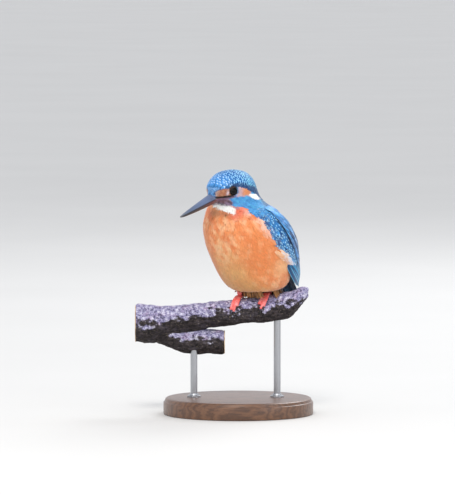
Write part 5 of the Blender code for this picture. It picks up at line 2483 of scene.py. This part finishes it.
@dataclass
class Stand:
    """The plain display stand: a turned base and two rods with collars."""

    nodes: Nodes
    steps: int = 144
    rod_steps: int = 64

    def build(self) -> None:
        """Builds the base and the rods."""
        radius, centre, _, top = self.extent("stand_base")
        profile = [(0, 0.4), (radius - 4, 0.4), (radius - 3.6, 0), (radius - 1.2, 0), (radius - 0.3, 0.35),
                   (radius, 1.2), (radius, top - 3.6), (radius - 0.25, top - 2.9), (radius - 0.9, top - 2.5),
                   (radius - 1.1, top - 1.8), (radius - 1.5, top - 0.7), (radius - 2.4, top - 0.12),
                   (radius - 3.6, top), (0, top)]
        base = turned(profile, centre, self.steps)
        self.enter("stand_base_turned", base, TurnedWood().material(), "stand_wood", ("stand_base",))
        for number in (1, 2):
            bar, place, low, high = self.extent(f"stand_rod_{number}")
            rod = turned([(0, low), (bar, low), (bar, high - 0.4), (bar - 0.4, high), (0, high)], place,
                         self.rod_steps)
            self.enter(f"stand_rod_{number}_steel", rod, BrushedSteel(f"rod_steel_{number}").material(),
                       "stand_metal", (f"stand_rod_{number}",))
            collar = turned([(bar + 0.05, top - 0.5), (bar + 2.4, top - 0.5), (bar + 2.4, top + 0.9),
                             (bar + 2.1, top + 1.3), (bar + 0.9, top + 1.5), (bar + 0.5, top + 2.6),
                             (bar + 0.05, top + 2.7), (bar + 0.05, top - 0.5)], place, self.rod_steps)
            self.enter(f"stand_collar_{number}", collar, BrushedSteel(f"collar_steel_{number}").material(),
                       "stand_metal")

    @staticmethod
    def extent(name: str) -> tuple[float, tuple[float, float], float, float]:
        """A round solid's radius, its axis in the plan, its foot and its top, in millimetres."""
        low, high = (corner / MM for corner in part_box(name))
        return (high.x - low.x) / 2, ((low.x + high.x) / 2, (low.y + high.y) / 2), low.z, high.z

    @staticmethod
    def enter(name: str, bm: Mesh, material: Material, slot: str,
              stands_for: Sequence[str] = ()) -> None:
        """Makes a turned shape a piece with crisp edges; arguments as for piece."""
        piece(name, bm, material, slot, stands_for).data.set_sharp_from_angle(angle=math.radians(30))


@dataclass
class Studio:
    """Camera, floor and soft lights."""

    target: Spot = (-0.0078, 0.002, 0.1204)
    distance: float = 4.0
    elevation: float = math.radians(4.0)
    frame_height: float = 0.3557
    sensor: float = 24.0
    floor_reach: float = 60.0
    lamps: tuple[tuple[str, Spot, float, float, Colour], ...] = (
        ("key", (-0.15, -1.35, 1.4), 0.5, 17.0, (1.0, 0.98, 0.95)),
        ("fill", (1.5, -1.2, 0.7), 1.2, 5.0, (0.95, 0.97, 1.0)),
        ("rim", (0.7, 1.2, 1.2), 0.8, 10.0, (0.97, 0.98, 1.0)))

    def build(self) -> None:
        """Sets the studio up."""
        scene = bpy.context.scene
        back = Vector((0, -math.cos(self.elevation), math.sin(self.elevation)))
        data = bpy.data.cameras.new("camera")
        data.sensor_fit = "VERTICAL"
        data.sensor_height = self.sensor
        data.lens = self.sensor * self.distance / self.frame_height
        data.clip_end = 200
        camera = bpy.data.objects.new("camera", data)
        scene.collection.objects.link(camera)
        camera.location = Vector(self.target) + back * self.distance
        camera.rotation_mode = "QUATERNION"
        camera.rotation_quaternion = (-back).to_track_quat("-Z", "Y")
        scene.camera = camera
        bm = bmesh.new()
        bmesh.ops.create_grid(bm, x_segments=4, y_segments=4, size=self.floor_reach)
        mesh = bpy.data.meshes.new("floor")
        bm.to_mesh(mesh)
        bm.free()
        floor = bpy.data.objects.new("floor", mesh)
        scene.collection.objects.link(floor)
        mesh.materials.append(PaleFloor().material())
        for lamp in self.lamps:
            self.lamp(*lamp)
        world = bpy.data.worlds.new("studio")
        world.use_nodes = True
        sky = world.node_tree.nodes["Background"]
        sky.inputs[0].default_value = (0.93, 0.95, 1.0, 1.0)
        sky.inputs[1].default_value = 0.92
        scene.world = world
        scene.view_settings.view_transform = "Standard"

    def lamp(self, name: str, at: Spot, size: float, power: float, colour: Colour) -> None:
        """One square soft lamp that faces the bird.

        Args:
            name: The lamp's name.
            at: Its place.
            size: Its width.
            power: Its watts.
            colour: Its light.
        """
        data = bpy.data.lights.new(name, "AREA")
        data.size = size
        data.energy = power
        data.color = colour
        made = bpy.data.objects.new(name, data)
        bpy.context.scene.collection.objects.link(made)
        made.location = at
        made.rotation_euler = (Vector(self.target) - Vector(at)).to_track_quat("-Z", "Y").to_euler()


def main() -> None:
    """Builds the model, the stand and the studio."""
    logging.basicConfig(level=logging.INFO, format="%(message)s")
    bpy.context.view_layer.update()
    nodes = frame["nodes"]
    Bird(nodes).build()
    Perch(nodes).build()
    Stand(nodes).build()
    Studio().build()


if __name__ == "__main__":
    main()
